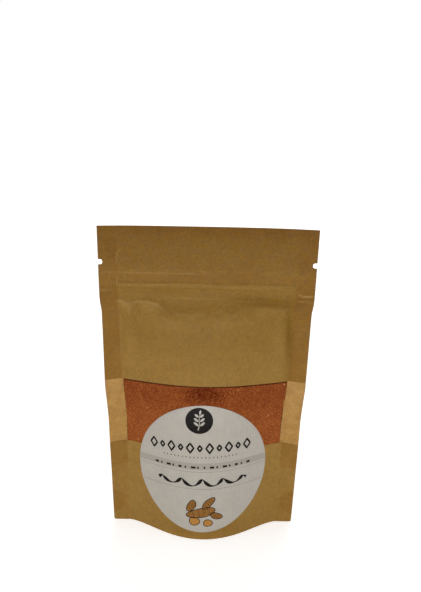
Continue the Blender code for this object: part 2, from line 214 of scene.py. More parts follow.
# The front panel's relief: lobes below the zip, puffs beside a valley, and creases round the zip
FRONT_RELIEF = Relief(
    swells=(
        Swell(-44.5, 133.0, 4.2, 2.4, 0.80),
        Swell(-38.5, 132.6, 2.4, 2.6, -0.70),
        Swell(-30.5, 133.6, 6.0, 2.8, 0.95),
        Swell(-14.0, 124.5, 8.5, 4.0, 0.55, -12),
        Swell(7.0, 125.5, 4.6, 4.8, 0.55, 20),
        Swell(-6.0, 131.5, 10.0, 3.0, -0.15),
        Swell(30.0, 140.0, 14.0, 1.4, 0.35, -2),
        Swell(27.0, 136.2, 17.0, 1.9, -1.05, -4),
        Swell(29.0, 130.6, 13.0, 3.2, 0.85, -3),
        Swell(-38.0, 121.0, 2.8, 9.0, -0.40, 28),
        Swell(-41.0, 110.0, 3.6, 14.0, 0.60),
        Swell(40.0, 114.0, 3.6, 16.0, 0.75),
        Swell(0.0, 108.0, 22.0, 10.0, -0.45),
        Swell(-30.0, 98.0, 9.0, 6.0, 0.35),
        Swell(24.0, 100.0, 12.0, 7.0, -0.30),
        Swell(36.0, 96.0, 5.0, 9.0, 0.35),
        Swell(-20.0, 162.0, 16.0, 5.0, 0.25, 12),
        Swell(24.0, 160.0, 14.0, 5.0, -0.25, -10),
    ),
    creases=(
        Crease(((-54.8, 148.9), (-30.0, 148.8), (-8.0, 148.8), (8.0, 148.9)), 0.10, 0.5, 0.24, 0.30),
        Crease(((6.0, 149.0), (30.0, 148.8), (54.0, 148.2)), 0.05, 0.5, 0.04, 0.30),
        Crease(((-46.5, 142.3), (-40.0, 142.7), (-30.0, 142.6), (-18.0, 143.4), (-6.0, 143.6),
                (4.0, 144.2)), 0.10, 0.6, 0.16, 0.30),
        Crease(((8.0, 141.7), (20.0, 141.6), (38.0, 141.4), (48.0, 140.4)), 0.10, 0.6, 0.11, 0.30),
        Crease(((-54.8, 139.6), (-47.5, 139.9)), 0.08, 0.5, 0.26, 0.30),
        Crease(((46.5, 139.0), (50.0, 138.0), (54.8, 138.3)), 0.14, 0.5, 0.50, 0.34),
        Crease(((46.0, 135.4), (54.8, 134.8)), 0.08, 0.5, 0.24, 0.34),
        Crease(((-24.0, 135.9), (-6.0, 136.1), (12.0, 136.0)), 0.08, 0.5, 0.13, 0.30),
        # The paleness along these lobe rims is a painted highlight as well as cracked paper
        Crease(((-47.5, 134.2), (-44.5, 134.2), (-42.0, 133.2), (-38.6, 132.6)), 0.26, 0.8, 0.40, 0.40),
        Crease(((-38.6, 132.6), (-35.5, 134.0), (-30.0, 134.3), (-26.0, 133.2), (-21.5, 130.0)),
               0.26, 0.9, 0.40, 0.44),
        Crease(((-42.5, 134.0), (-40.5, 131.0), (-41.0, 127.5)), 0.14, 1.3, 0.10, 1.0),
        Crease(((-20.0, 131.6), (-15.0, 128.6), (-8.0, 127.6), (0.0, 128.6)), 0.16, 1.6, 0.10, 1.0),
        Crease(((2.0, 128.8), (7.0, 130.4), (12.0, 127.6), (18.0, 131.0), (24.0, 132.6)),
               0.16, 1.3, 0.10, 0.9),
        Crease(((20.0, 131.4), (32.0, 131.9), (40.0, 130.4), (42.8, 126.5)), 0.34, 1.4, 0.08, 0.8),
        Crease(((43.0, 130.5), (44.8, 120.0), (45.8, 108.0), (46.2, 93.0)), -0.45, 1.6),
        Crease(((-44.0, 126.0), (-39.5, 121.0), (-34.0, 117.0)), -0.16, 1.8),
        Crease(((-6.0, 156.0), (-3.0, 150.5), (1.0, 146.5)), 0.12, 0.7, 0.09),
        Crease(((-42.5, 161.4), (-45.0, 159.4), (-46.2, 156.6), (-45.9, 153.0)), 0.14, 0.6, 0.20, 0.30),
        Crease(((-45.8, 147.0), (-46.0, 140.5)), 0.12, 0.5, 0.24, 0.30),
        Crease(((-45.8, 134.0), (-45.9, 118.0), (-45.9, 96.0)), 0.12, 0.8, 0.12),
        Crease(((32.0, 160.0), (39.0, 158.0), (44.0, 158.6)), 0.07, 0.8, 0.05),
        Crease(((12.0, 122.0), (5.0, 117.0), (-2.0, 116.0)), -0.10, 1.2),
        Crease(((-20.0, 112.0), (-30.0, 108.0), (-38.0, 101.0)), -0.12, 1.4),
        Crease(((20.0, 118.0), (31.0, 114.0), (39.0, 104.0)), -0.12, 1.4),
    ),
    # Painted shade and painted highlights: darker above and beside the right puff, in the valley, round the
    # feet and low in the middle; lighter on the lobes and puffs
    painted_shading=(
        Swell(29.0, 135.2, 15.0, 2.1, 0.56, -4),
        Swell(41.0, 133.4, 5.0, 1.8, 0.26, -20),
        Swell(43.6, 119.0, 2.4, 13.0, 0.46, 3),
        Swell(45.2, 118.0, 0.9, 14.0, 0.34, 2),
        Swell(45.0, 100.0, 2.0, 11.0, 0.30),
        Swell(-6.0, 130.4, 12.0, 2.6, 0.20),
        Swell(0.0, 6.0, 26.0, 6.0, 0.46),
        Swell(47.0, 12.0, 7.0, 11.0, 0.24),
        Swell(0.0, 116.0, 44.0, 9.0, 0.20),
        Swell(-39.0, 121.0, 2.4, 8.0, 0.12, 30),
        Swell(-16.0, 123.0, 9.0, 4.0, -0.14),
        Swell(7.0, 124.5, 5.0, 5.0, -0.14),
        Swell(30.0, 130.2, 10.0, 2.0, -0.16),
        Swell(-30.0, 131.8, 6.0, 2.2, -0.30),
        Swell(-44.0, 131.8, 3.4, 1.8, -0.38),
        Swell(-41.0, 108.0, 3.4, 15.0, -0.14),
        Swell(40.0, 106.0, 3.4, 15.0, -0.12),
        Swell(-20.0, 139.6, 26.0, 1.8, 0.14),
    ),
)

# The back panel's relief: the same soft puffs, with the folds a filled pouch takes behind its zip
BACK_RELIEF = Relief(
    swells=(
        Swell(-30.0, 132.0, 12.0, 4.0, 0.70),
        Swell(26.0, 133.0, 14.0, 4.0, 0.60),
        Swell(0.0, 124.0, 9.0, 5.0, -0.30),
        Swell(-8.0, 96.0, 24.0, 12.0, -0.40),
        Swell(34.0, 108.0, 6.0, 16.0, 0.40),
        Swell(-38.0, 112.0, 5.0, 15.0, 0.40),
        Swell(12.0, 60.0, 18.0, 14.0, 0.35),
        Swell(-18.0, 44.0, 14.0, 11.0, 0.25),
    ),
    creases=(
        Crease(((-54.5, 149.2), (0.0, 149.4), (54.5, 149.0)), 0.08, 0.6, 0.25),
        Crease(((-46.0, 142.3), (0.0, 142.6), (46.0, 142.2)), 0.14, 0.7, 0.30),
        Crease(((-44.0, 135.0), (-34.0, 136.6), (-22.0, 135.4), (-12.0, 131.4)), 0.20, 0.9, 0.45),
        Crease(((8.0, 131.0), (18.0, 135.2), (30.0, 136.4), (43.0, 134.6)), 0.20, 0.9, 0.40),
        Crease(((-12.0, 131.0), (-2.0, 126.0), (2.0, 118.0)), -0.20, 1.6),
        Crease(((8.0, 131.0), (4.0, 122.0), (5.0, 114.0)), -0.14, 1.4),
        Crease(((-44.0, 124.0), (-36.0, 116.0), (-31.0, 106.0)), -0.16, 1.6),
        Crease(((43.0, 122.0), (37.0, 116.0), (34.0, 108.0)), -0.14, 1.6),
    ),
)


@dataclass(frozen=True)
class PouchForm:
    """The filled pouch's shape, which every sheet is bent onto."""

    width: float = 110.0
    height: float = 172.0
    seal: float = 9.5
    bulge_knots: tuple[Point, ...] = (
        (0, 14.6), (30, 14.0), (56, 13.1), (66, 12.9), (78, 11.0), (88, 8.6), (100, 8.4), (112, 8.5),
        (128, 8.1), (138, 0))
    crown_knots: tuple[Point, ...] = ((0, 1.33), (50, 1.33), (90, 1.10), (138, 1.05), (172, 1.05))
    drop_knots: tuple[Point, ...] = (
        (-55, 1.5), (-45, 1.6), (-39, 3.4), (-31, 0.6), (-25, 1.2), (-19, 2.6), (-8, 3.0), (3, 2.8),
        (11, 3.2), (24, 3.0), (36, 3.2), (42, 5.0), (55, 6.5))
    drop_low: float = 104.0
    drop_full: float = 128.0
    valley_knots: tuple[Point, ...] = (
        (88, 8.6), (100, 8.3), (108, 7.9), (116, 6.7), (124, 4.6), (130, 2.3), (133.5, 0.8), (136, 0))
    valley_across: float = -4.0
    valley_wide: float = 18.0
    reach_columns: int = 81
    reach_rows: int = 345
    dent_limit: float = 0.9
    flare: float = math.radians(19)
    flare_top: float = 137.0
    bow: float = 5.2
    bow_low: float = 134.0
    bow_power: float = 1.6
    wave: float = 0.25
    wave_length: float = 13.0
    wave_start: float = 0.6
    seal_wave: float = 0.2
    seal_wave_length: float = 14.0
    seal_wave_starts: Point = (0.2, 1.3)
    seal_wave_full: float = 25.0
    notch_height: float = 154.1
    notch_depth: float = 2.1
    notch_mouth: float = 0.9
    notch_half: float = 1.35
    notch_power: float = 2.6
    foot_round: float = 1.6
    punch_height: float = 14.0
    punch_radius: float = 8.0
    sealed: float = 0.05
    over_gusset: float = 0.20
    gusset_fade: Point = (35.0, 38.0)
    flange: float = 0.20
    flange_blend: Point = (0.5, 0.3)
    rib: float = 0.62
    rib_half: float = 1.5
    crushed_rib: float = 0.10
    crush: Point = (-0.8, 0.6)
    zip_low: float = 136.0
    zip_line: float = 142.4
    zip_high: float = 149.3

    @property
    def panel_half(self) -> float:
        """Half the width between the two side seals."""
        return self.width / 2 - self.seal

    def depth(self, across: Values, up: Values) -> Values:
        """Returns how far the smooth panel stands out from the seam plane."""
        share = np.minimum(np.abs(across) / self.panel_half, 1)
        drop = smooth_through(self.drop_knots, across) * smooth_step(up, self.drop_low, self.drop_full)
        out = smooth_through(self.bulge_knots, up + drop)
        valley = np.exp(-((across - self.valley_across) / self.valley_wide) ** 2)
        valley = valley * smooth_step(up, self.valley_knots[0][0], self.drop_low)
        out = out + valley * (smooth_through(self.valley_knots, up) - out)
        return out * np.cos(share * np.pi / 2).clip(0) ** smooth_through(self.crown_knots, up)

    @cached_property
    def reach_table(self) -> Values:
        """How far from the middle each place in a panel comes, by height and by share of the panel."""
        share = np.linspace(0, 1, self.reach_columns)
        middle = (share[1:] + share[:-1]) / 2 * np.pi / 2
        levels = np.linspace(0, self.height, self.reach_rows)[:, None]
        crown = smooth_through(self.crown_knots, levels)
        out = smooth_through(self.bulge_knots, levels)
        slope = out * crown * np.pi / (2 * self.panel_half) * np.cos(middle) ** (crown - 1) * np.sin(middle)
        steps = np.sqrt(np.maximum(1 - slope ** 2, 0)) * self.panel_half / (len(share) - 1)
        return np.concatenate([np.zeros((len(levels), 1)), np.cumsum(steps, axis=1)], axis=1)

    def reach(self, across: Values, up: Values) -> Values:
        """Returns how far from the middle a place in the panel comes once the sheet is bent."""
        table = self.reach_table
        row = np.clip(up / self.height, 0, 1) * (table.shape[0] - 1)
        column = np.minimum(np.abs(across) / self.panel_half, 1) * (table.shape[1] - 1)
        i = np.minimum(row.astype(int), table.shape[0] - 2)
        j = np.minimum(column.astype(int), table.shape[1] - 2)
        s, t = row - i, column - j
        return ((table[i, j] * (1 - s) + table[i + 1, j] * s) * (1 - t)
                + (table[i, j + 1] * (1 - s) + table[i + 1, j + 1] * s) * t)

    def middle(self, side: Side, across: Values, up: Values) -> tuple[Values, Values]:
        """Finds the surface halfway between the two panels.

        Args:
            side: the panel.
            across: places across the flat sheet.
            up: places up the flat sheet.

        Returns:
            x and y of each place, in millimetres.
        """
        over = np.maximum(np.abs(across) - self.panel_half, 0)
        turn = self.flare * np.sin(np.pi * np.minimum(up, self.flare_top) / self.flare_top)
        x = np.sign(across) * (self.reach(across, up) + over * np.cos(turn))
        y = side.value * self.depth(across, up) - over * np.sin(turn) + self.warp(across, up)
        return x, y

    def place(self, side: Side, across: Values, up: Values, offset: Values, lift: Values) -> Values:
        """Bends places on a flat sheet onto the filled pouch.

        Args:
            side: the panel.
            across: places across the flat sheet.
            up: places up the flat sheet.
            offset: how far outwards from the surface between the panels.
            lift: the panel's relief, which stops short of the other panel.

        Returns:
            An array of points, in metres.
        """
        across, up = np.asarray(across, float), np.asarray(up, float)
        x, y = self.middle(side, across, up)
        x0, y0 = self.middle(side, across - 1, up)
        x1, y1 = self.middle(side, across + 1, up)
        length = np.hypot(x1 - x0, y1 - y0)
        out = offset + np.maximum(lift, -self.dent_limit * self.depth(across, up))
        x = x - side.value * (y1 - y0) / length * out
        y = y + side.value * (x1 - x0) / length * out
        return np.stack([x, y, up], axis=-1) * MM

    def warp(self, across: Values, up: Values) -> Values:
        """Returns the bow and the slow waves that both panels share where they are sealed together."""
        header = np.clip((up - self.bow_low) / (self.height - self.bow_low), 0, 1)
        share = np.clip(across / (self.width / 2), -1, 1)
        bow = self.bow * header ** self.bow_power * (1 - share ** 4)
        wave = self.wave * np.sin(across / self.wave_length + self.wave_start) * header
        left, right = self.seal_wave_starts
        side = smooth_step(np.abs(across), self.panel_half, self.width / 2)
        start = np.where(across > 0, right, left)
        sway = self.seal_wave * side * np.sin(up / self.seal_wave_length + start)
        return bow + wave + sway * smooth_step(up, 0, self.seal_wave_full)

    def space(self, across: Values, up: Values) -> Values:
        """Returns half the space between the panels: more over the gusset's legs and over the zip."""
        outside, inside = self.flange_blend
        gusset = self.over_gusset * (1 - smooth_step(up, *self.gusset_fade))
        flange = self.flange * smooth_step(up, self.zip_low - outside, self.zip_low + inside)
        flange = flange * (1 - smooth_step(up, self.zip_high - inside, self.zip_high + outside))
        crushed = smooth_step(np.abs(across) - self.panel_half, *self.crush)
        rib = self.rib * (1 - crushed) + self.crushed_rib * crushed
        return self.sealed + gusset + flange + rib * np.exp(-((up - self.zip_line) / self.rib_half) ** 4)

    def edge(self, up: Values) -> Values:
        """Returns the half width of the cut outline, with the tear notches and the rounded foot."""
        across_notch = np.abs(up - self.notch_height) / self.notch_half
        point = np.sqrt(np.clip(1 - across_notch ** self.notch_power, 0, 1))
        cut = self.notch_mouth + (self.notch_depth - self.notch_mouth) * point
        notch = np.where(across_notch < 1, cut, 0)
        rise = np.sqrt(np.clip(self.foot_round ** 2 - (self.foot_round - up) ** 2, 0, None))
        foot = np.where(up < self.foot_round, self.foot_round - rise, 0)
        return self.width / 2 - notch - foot

    def trim(self, across: Values, up: Values) -> Values:
        """Pulls a sheet's outermost columns in to the cut outline."""
        over = np.abs(across) - self.panel_half
        share = (self.edge(up) - self.panel_half) / self.seal
        return np.where(over > 0, np.sign(across) * (self.panel_half + over * share), across)


def stations(low: float, high: float, step: float, extra: Sequence[float] = ()) -> Values:
    """Spaces stations evenly from low to high, with the extra ones among them.

    Args:
        low: the first station.
        high: the last station.
        step: the widest gap between two stations.
        extra: stations that the row has to have.

    Returns:
        The stations in rising order.
    """
    fixed = sorted(value for value in {low, high, *extra} if low <= value <= high)
    made = [low]
    for near, far in zip(fixed, fixed[1:]):
        count = max(1, math.ceil((far - near) / step - 1e-6))
        made += [near + (far - near) * (i + 1) / count for i in range(count)]
    return np.array(made)


def new_piece(name: str, mesh_data: MeshData, finishes: Sequence[Material]) -> Piece:
    """Turns a bmesh into a smooth object in the scene, with its faces out.

    Args:
        name: the piece's name.
        mesh_data: the finished bmesh, which is freed.
        finishes: its materials, the main one first.

    Returns:
        The new object, at the origin.
    """
    bmesh.ops.recalc_face_normals(mesh_data, faces=mesh_data.faces)
    mesh = bpy.data.meshes.new(name)
    mesh_data.to_mesh(mesh)
    mesh_data.free()
    made = bpy.data.objects.new(name, mesh)
    for finish in finishes:
        mesh.materials.append(finish)
    mesh.shade_smooth()
    mesh.set_sharp_from_angle(angle=SHARP_ANGLE)
    bpy.context.scene.collection.objects.link(made)
    return made


def hang_on_frame(made: Piece, slot: str, *nodes: str) -> Piece:
    """Rides the piece on the pouch's one body and hides the CAD nodes it stands for."""
    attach(made, "root")
    if nodes:
        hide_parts(*nodes)
    log.info("%s: %d faces", made.name, len(made.data.polygons))
    return made


def flat_sheet(columns: Values, rows: Values) -> MeshData:
    """Makes a flat grid with these stations across and up."""
    mesh_data = bmesh.new()
    bmesh.ops.create_grid(mesh_data, x_segments=len(columns) - 1, y_segments=len(rows) - 1, size=0.5)
    for vert in mesh_data.verts:
        column = round((vert.co.x + 0.5) * (len(columns) - 1))
        row = round((vert.co.y + 0.5) * (len(rows) - 1))
        vert.co = (columns[column], rows[row], 0)
    return mesh_data


@dataclass
class Bender:
    """Gives flat shapes their thickness and bends them onto one panel."""

    form: PouchForm
    side: Side
    relief: Relief

    def bend(self, mesh_data: MeshData, inner: Offset, thickness: float,
             marks: dict[str, Offset] | None = None) -> MeshData:
        """Thickens a flat shape and bends it, and notes its flat place and the marks that its materials
        read.

        Args:
            mesh_data: the flat shape, drawn in x and y.
            inner: its inner face's offset at each place.
            thickness: the sheet's own thickness.
            marks: other values that the material reads, from 0 to 1 at each place.

        Returns:
            The same bmesh, bent.
        """
        bmesh.ops.recalc_face_normals(mesh_data, faces=mesh_data.faces)
        bmesh.ops.solidify(mesh_data, geom=mesh_data.faces[:], thickness=thickness)
        mesh_data.verts.ensure_lookup_table()
        flat = np.array([vert.co for vert in mesh_data.verts])
        across, up = flat[:, 0], flat[:, 1]
        outer = flat[:, 2] > flat[:, 2].mean()
        offset = inner(across, up) + thickness * outer
        lift = self.relief.lift(across, up)
        bent = self.form.place(self.side, self.form.trim(across, up), up, offset, lift)
        for name, mark in (marks or {}).items():
            layer = mesh_data.verts.layers.float.new(name)
            for vert, value in zip(mesh_data.verts, mark(across, up)):
                vert[layer] = float(value)
        flat_layer = mesh_data.loops.layers.uv.new("sheet")
        for vert, point in zip(mesh_data.verts, bent):
            vert.co = point
        places = (flat[:, :2] + (self.form.width / 2 + SHEET_MARGIN, SHEET_MARGIN)) / SHEET_UNIT
        for face in mesh_data.faces:
            face.material_index = 0 if any(outer[vert.index] for vert in face.verts) else 1
            for loop in face.loops:
                loop[flat_layer].uv = places[loop.vert.index]
        return mesh_data


class Graph:
    """Adds nodes to a node tree, so that a finish reads as a list of steps."""

    def __init__(self, tree: Tree) -> None:
        """Keeps the tree that the nodes are added to."""
        self.tree = tree

    def add(self, kind: str, settings: dict | None = None, **inputs: object) -> Node:
        """Adds a node.

        Args:
            kind: the node's type.
            settings: its own properties.
            inputs: a value or a socket for each named input, with spaces written as underscores.

        Returns:
            The new node.
        """
        node = self.tree.nodes.new(kind)
        for name, value in (settings or {}).items():
            setattr(node, name, value)
        self.supply(node, **inputs)
        return node

    def supply(self, node: Node, **inputs: object) -> None:
        """Feeds a node's named inputs, with spaces written as underscores."""
        for name, value in inputs.items():
            self.feed(node.inputs[name.replace("_", " ")], value)

    def feed(self, socket: Socket, value: object) -> None:
        """Joins a socket to another one, or sets its value."""
        if isinstance(value, Socket):
            self.tree.links.new(value, socket)
        elif isinstance(value, tuple) and socket.type == "RGBA":
            socket.default_value = (*value[:3], 1.0)
        else:
            socket.default_value = value

    def math(self, operation: str, a: object, b: object, clamp: bool = False) -> Socket:
        """Adds a Math node and returns its value."""
        node = self.add("ShaderNodeMath", {"operation": operation, "use_clamp": clamp})
        self.feed(node.inputs[0], a)
        self.feed(node.inputs[1], b)
        return node.outputs[0]

    def times(self, a: object, b: object) -> Socket:
        """Multiplies two values."""
        return self.math("MULTIPLY", a, b)

    def plus(self, a: object, b: object, clamp: bool = False) -> Socket:
        """Adds two values up."""
        return self.math("ADD", a, b, clamp)

    def span(self, value: object, low: float, high: float, to_low: float = 0.0,
             to_high: float = 1.0) -> Socket:
        """Maps a value's range from low and high to two others, held at both ends."""
        node = self.add("ShaderNodeMapRange", {"interpolation_type": "SMOOTHSTEP"}, Value=value,
                        From_Min=low, From_Max=high, To_Min=to_low, To_Max=to_high)
        return node.outputs["Result"]

    def spread(self, value: object, middle: float, reach: float) -> Socket:
        """Maps a value from 0 to 1 to a range that reaches equally far each side of its middle."""
        return self.span(value, 0.0, 1.0, middle - reach, middle + reach)

    def mix(self, factor: object, a: object, b: object, blend: str = "MIX") -> Socket:
        """Adds a colour Mix node and returns its colour."""
        node = self.add("ShaderNodeMix", {"data_type": "RGBA", "blend_type": blend})
        self.feed(node.inputs[0], factor)
        self.feed(node.inputs[6], a)
        self.feed(node.inputs[7], b)
        return node.outputs[2]

    def shade(self, colour: object, level: object) -> Socket:
        """Multiplies a colour by a grey level."""
        grey = self.add("ShaderNodeCombineColor", None, Red=level, Green=level, Blue=level).outputs[0]
        return self.mix(1.0, colour, grey, "MULTIPLY")

    def noise(self, place: object, scale: object, detail: float = 2.0, rough: float = 0.5,
              distort: float = 0.0) -> Socket:
        """Adds a Noise texture and returns its value."""
        node = self.add("ShaderNodeTexNoise", None, Vector=place, Scale=scale, Detail=detail,
                        Roughness=rough, Distortion=distort)
        return node.outputs["Fac"]

    def cells(self, place: object, scale: object, flat: bool = False) -> tuple[Socket, Sequence[Socket]]:
        """Adds a cell texture and returns the distance to a cell's middle and its random numbers."""
        node = self.add("ShaderNodeTexVoronoi", {"voronoi_dimensions": "2D" if flat else "3D"},
                        Vector=place, Scale=scale, Randomness=1.0)
        chosen = self.add("ShaderNodeSeparateColor", None, Color=node.outputs["Color"])
        return node.outputs["Distance"], chosen.outputs

    def stretch(self, place: object, factors: tuple[float, float, float], turn: float = 0.0) -> Socket:
        """Adds a Mapping node that stretches and turns a pattern."""
        node = self.add("ShaderNodeMapping", None, Vector=place, Scale=factors, Rotation=(0.0, 0.0, turn))
        return node.outputs[0]

    def sheet_place(self) -> Socket:
        """Reads the place on the flat sheet."""
        return self.add("ShaderNodeUVMap", {"uv_map": "sheet"}).outputs["UV"]

    def object_place(self) -> Socket:
        """Reads the place in the object."""
        return self.add("ShaderNodeTexCoord").outputs["Object"]

    def reading(self, mark: str) -> Socket:
        """Reads one of the mesh's own values."""
        return self.add("ShaderNodeAttribute", {"attribute_name": mark}).outputs["Fac"]

    def use(self, group: Tree, place: object, scale: float) -> dict[str, Socket]:
        """Adds a node group and returns its outputs by name."""
        node = self.add("ShaderNodeGroup", {"node_tree": group}, Place=place, Scale=scale)
        return {socket.name: socket for socket in node.outputs}


def new_group(name: str, *outputs: str) -> tuple[Graph, Node, Node]:
    """Starts a shader node group that takes a place and a scale.

    Args:
        name: the group's name.
        outputs: its outputs' names, all of them plain values.

    Returns:
        A graph of the group, its input node and its output node.
    """
    tree = bpy.data.node_groups.new(name, "ShaderNodeTree")
    tree.interface.new_socket(name="Place", in_out="INPUT", socket_type="NodeSocketVector")
    tree.interface.new_socket(name="Scale", in_out="INPUT", socket_type="NodeSocketFloat")
    for label in outputs:
        tree.interface.new_socket(name=label, in_out="OUTPUT", socket_type="NodeSocketFloat")
    return Graph(tree), tree.nodes.new("NodeGroupInput"), tree.nodes.new("NodeGroupOutput")


class Effects:
    """Node groups that several finishes share."""

    def __init__(self) -> None:
        """Builds each group once."""
        self.fibre = self.build_fibre()
        self.mottle = self.build_mottle()
        self.grain = self.build_grain()

    def build_fibre(self) -> Tree:
        """Builds matted paper fibres, with a dark shive here and there among them."""
        graph, start, end = new_group("paper fibre", "Shade", "Shive", "Height")
        place, scale = start.outputs["Place"], start.outputs["Scale"]
        fine = graph.noise(place, scale, detail=3.0, rough=0.65, distort=0.6)
        mat = graph.noise(place, graph.times(scale, 0.4), detail=3.0, rough=0.6, distort=1.8)
        web = graph.plus(graph.times(fine, 0.6), graph.times(mat, 0.4))
        leaning = graph.stretch(place, (1.0, 0.6, 1.0), turn=0.8)
        near, chosen = graph.cells(leaning, graph.times(scale, 0.27), flat=True)
        size = graph.span(chosen[1], 0.0, 1.0, 0.035, 0.09)
        speck = graph.span(graph.math("DIVIDE", near, size), 1.0, 0.6)
        shive = graph.times(speck, graph.span(chosen[0], 0.82, 0.84))
        graph.supply(end, Shade=graph.span(web, 0.36, 0.64), Shive=shive, Height=web)
        return graph.tree

    def build_mottle(self) -> Tree:
        """Builds soft blotches over finer ones, such as a bonded film gives to paper."""
        graph, start, end = new_group("soft mottle", "Broad", "Fine")
        place, scale = start.outputs["Place"], start.outputs["Scale"]
        broad = graph.noise(place, scale, rough=0.55)
        fine = graph.noise(place, graph.times(scale, 3.6), detail=3.0, rough=0.6)
        graph.supply(end, Broad=graph.span(broad, 0.34, 0.66), Fine=graph.span(fine, 0.34, 0.66))
        return graph.tree

    def build_grain(self) -> Tree:
        """Builds fine ground grains with small lumps."""
        graph, start, end = new_group("ground grain", "Shade", "Height")
        place, scale = start.outputs["Place"], start.outputs["Scale"]
        near, _ = graph.cells(place, scale)
        fine = graph.noise(place, graph.times(scale, 1.7), rough=0.7)
        lump = graph.noise(place, graph.times(scale, 0.22), detail=3.0, rough=0.6)
        uneven = graph.plus(graph.times(fine, 0.45), graph.times(lump, 0.2))
        level = graph.plus(graph.times(near, 0.45), uneven)
        graph.supply(end, Shade=graph.span(level, 0.44, 0.68), Height=level)
        return graph.tree


class Finish(Graph):
    """A Principled material under way."""

    def __init__(self, name: str, colour: Colour, roughness: float, specular: float = 0.5) -> None:
        """Starts the material with what is the same all over it."""
        self.material = bpy.data.materials.new(name)
        self.material.use_nodes = True
        self.material.diffuse_color = (*colour, 1.0)
        super().__init__(self.material.node_tree)
        self.wear(Base_Color=colour, Roughness=roughness, Specular_IOR_Level=specular)

    def wear(self, **inputs: object) -> None:
        """Feeds the shader's named inputs, with spaces written as underscores."""
        self.supply(self.tree.nodes["Principled BSDF"], **inputs)

    def bump(self, height: object, strength: float, distance: float) -> None:
        """Raises the surface in light and shade by a height."""
        node = self.add("ShaderNodeBump", None, Strength=strength, Distance=distance, Height=height)
        self.wear(Normal=node.outputs["Normal"])


@dataclass(frozen=True)
class KraftPaper:
    """Brown kraft: olive where it is loose, redder and darker where it is bonded, pale along cracked
    creases and painted highlights, darker under painted shade.
    """

    name: str = "kraft paper"
    loose: Colour = (0.253, 0.142, 0.0318)
    bonded: Colour = (0.214, 0.103, 0.0158)
    # The pale colour of cracked creases, which also paints highlights along crease rims
    light: Colour = (0.440, 0.295, 0.120)
    dark: Colour = (0.095, 0.045, 0.011)
    # The tint that painted shade darkens the kraft by
    painted_shade_tint: Colour = (0.64, 0.575, 0.27)
    fibre_scale: float = 170.0
    fibre_depth: float = 0.095
    mottle_scale: float = 14.0
    mottle_depth: float = 0.035
    blotch: float = 0.32
    shive: float = 0.62
    unbroken: float = 0.75
    roughness: float = 0.62
    roughness_reach: float = 0.07
    specular: float = 0.14
    fibre_rise: float = 0.6
    mottle_rise: float = 0.9
    bump: float = 0.35
    bump_height: float = 0.00012

    def build(self, effects: Effects) -> Material:
        """Builds the material."""
        finish = Finish(self.name, self.loose, self.roughness, self.specular)
        place = finish.sheet_place()
        fibre = finish.use(effects.fibre, place, self.fibre_scale)
        mottle = finish.use(effects.mottle, place, self.mottle_scale)
        blotch = finish.times(finish.math("SUBTRACT", mottle["Broad"], 0.5), self.blotch)
        tone = finish.plus(finish.reading("bond"), blotch, clamp=True)
        colour = finish.mix(tone, self.loose, self.bonded)
        # Painted shade: the kraft is darkened towards the top and under the panel's shading marks
        painted_shade = finish.mix(1.0, colour, self.painted_shade_tint, "MULTIPLY")
        colour = finish.mix(finish.reading("painted_shade"), colour, painted_shade)
        patch = finish.spread(mottle["Fine"], 1.0, self.mottle_depth)
        level = finish.times(finish.spread(fibre["Shade"], 1.0, self.fibre_depth), patch)
        colour = finish.shade(colour, level)
        colour = finish.mix(finish.times(fibre["Shive"], self.shive), colour, self.dark)
        cracked = finish.span(fibre["Shade"], 0.0, 1.0, self.unbroken, 1.0)
        # Paler along cracked creases and painted highlights on crease rims
        colour = finish.mix(finish.times(finish.reading("wear_and_highlight"), cracked), colour, self.light)
        rough = finish.spread(mottle["Fine"], self.roughness, self.roughness_reach)
        finish.wear(Base_Color=colour, Roughness=rough)
        raised = finish.times(fibre["Height"], self.fibre_rise)
        height = finish.plus(raised, finish.times(mottle["Fine"], self.mottle_rise))
        finish.bump(height, self.bump, self.bump_height)
        return finish.material


@dataclass(frozen=True)
class PlainPaper:
    """A plainer paper face: the laminate's inside, or the label with its fine ribs."""

    name: str
    colour: Colour
    second: Colour
    roughness: float = 0.42
    roughness_reach: float = 0.05
    specular: float = 0.4
    fibre_scale: float = 130.0
    fibre_depth: float = 0.10
    mottle_scale: float = 30.0
    rib: float = 0.0
    rib_scale: float = 62.0
    rib_wobble: float = 0.4
    bump: float = 0.2
    bump_height: float = 0.00005

    def build(self, effects: Effects) -> Material:
        """Builds the material."""
        finish = Finish(self.name, self.colour, self.roughness, self.specular)
        place = finish.sheet_place()
        fibre = finish.use(effects.fibre, place, self.fibre_scale)
        mottle = finish.use(effects.mottle, place, self.mottle_scale)
        wave = finish.add("ShaderNodeTexWave", None, Vector=place, Scale=self.rib_scale,
                          Distortion=self.rib_wobble)
        rib = finish.times(wave.outputs["Fac"], self.rib)
        tone = finish.plus(finish.times(mottle["Broad"], 1.0 - self.rib), rib, clamp=True)
        colour = finish.mix(tone, self.colour, self.second)
        colour = finish.shade(colour, finish.spread(fibre["Shade"], 1.0, self.fibre_depth))
        rough = finish.spread(mottle["Fine"], self.roughness, self.roughness_reach)
        finish.wear(Base_Color=colour, Roughness=rough)
        finish.bump(fibre["Height"], self.bump, self.bump_height)
        return finish.material


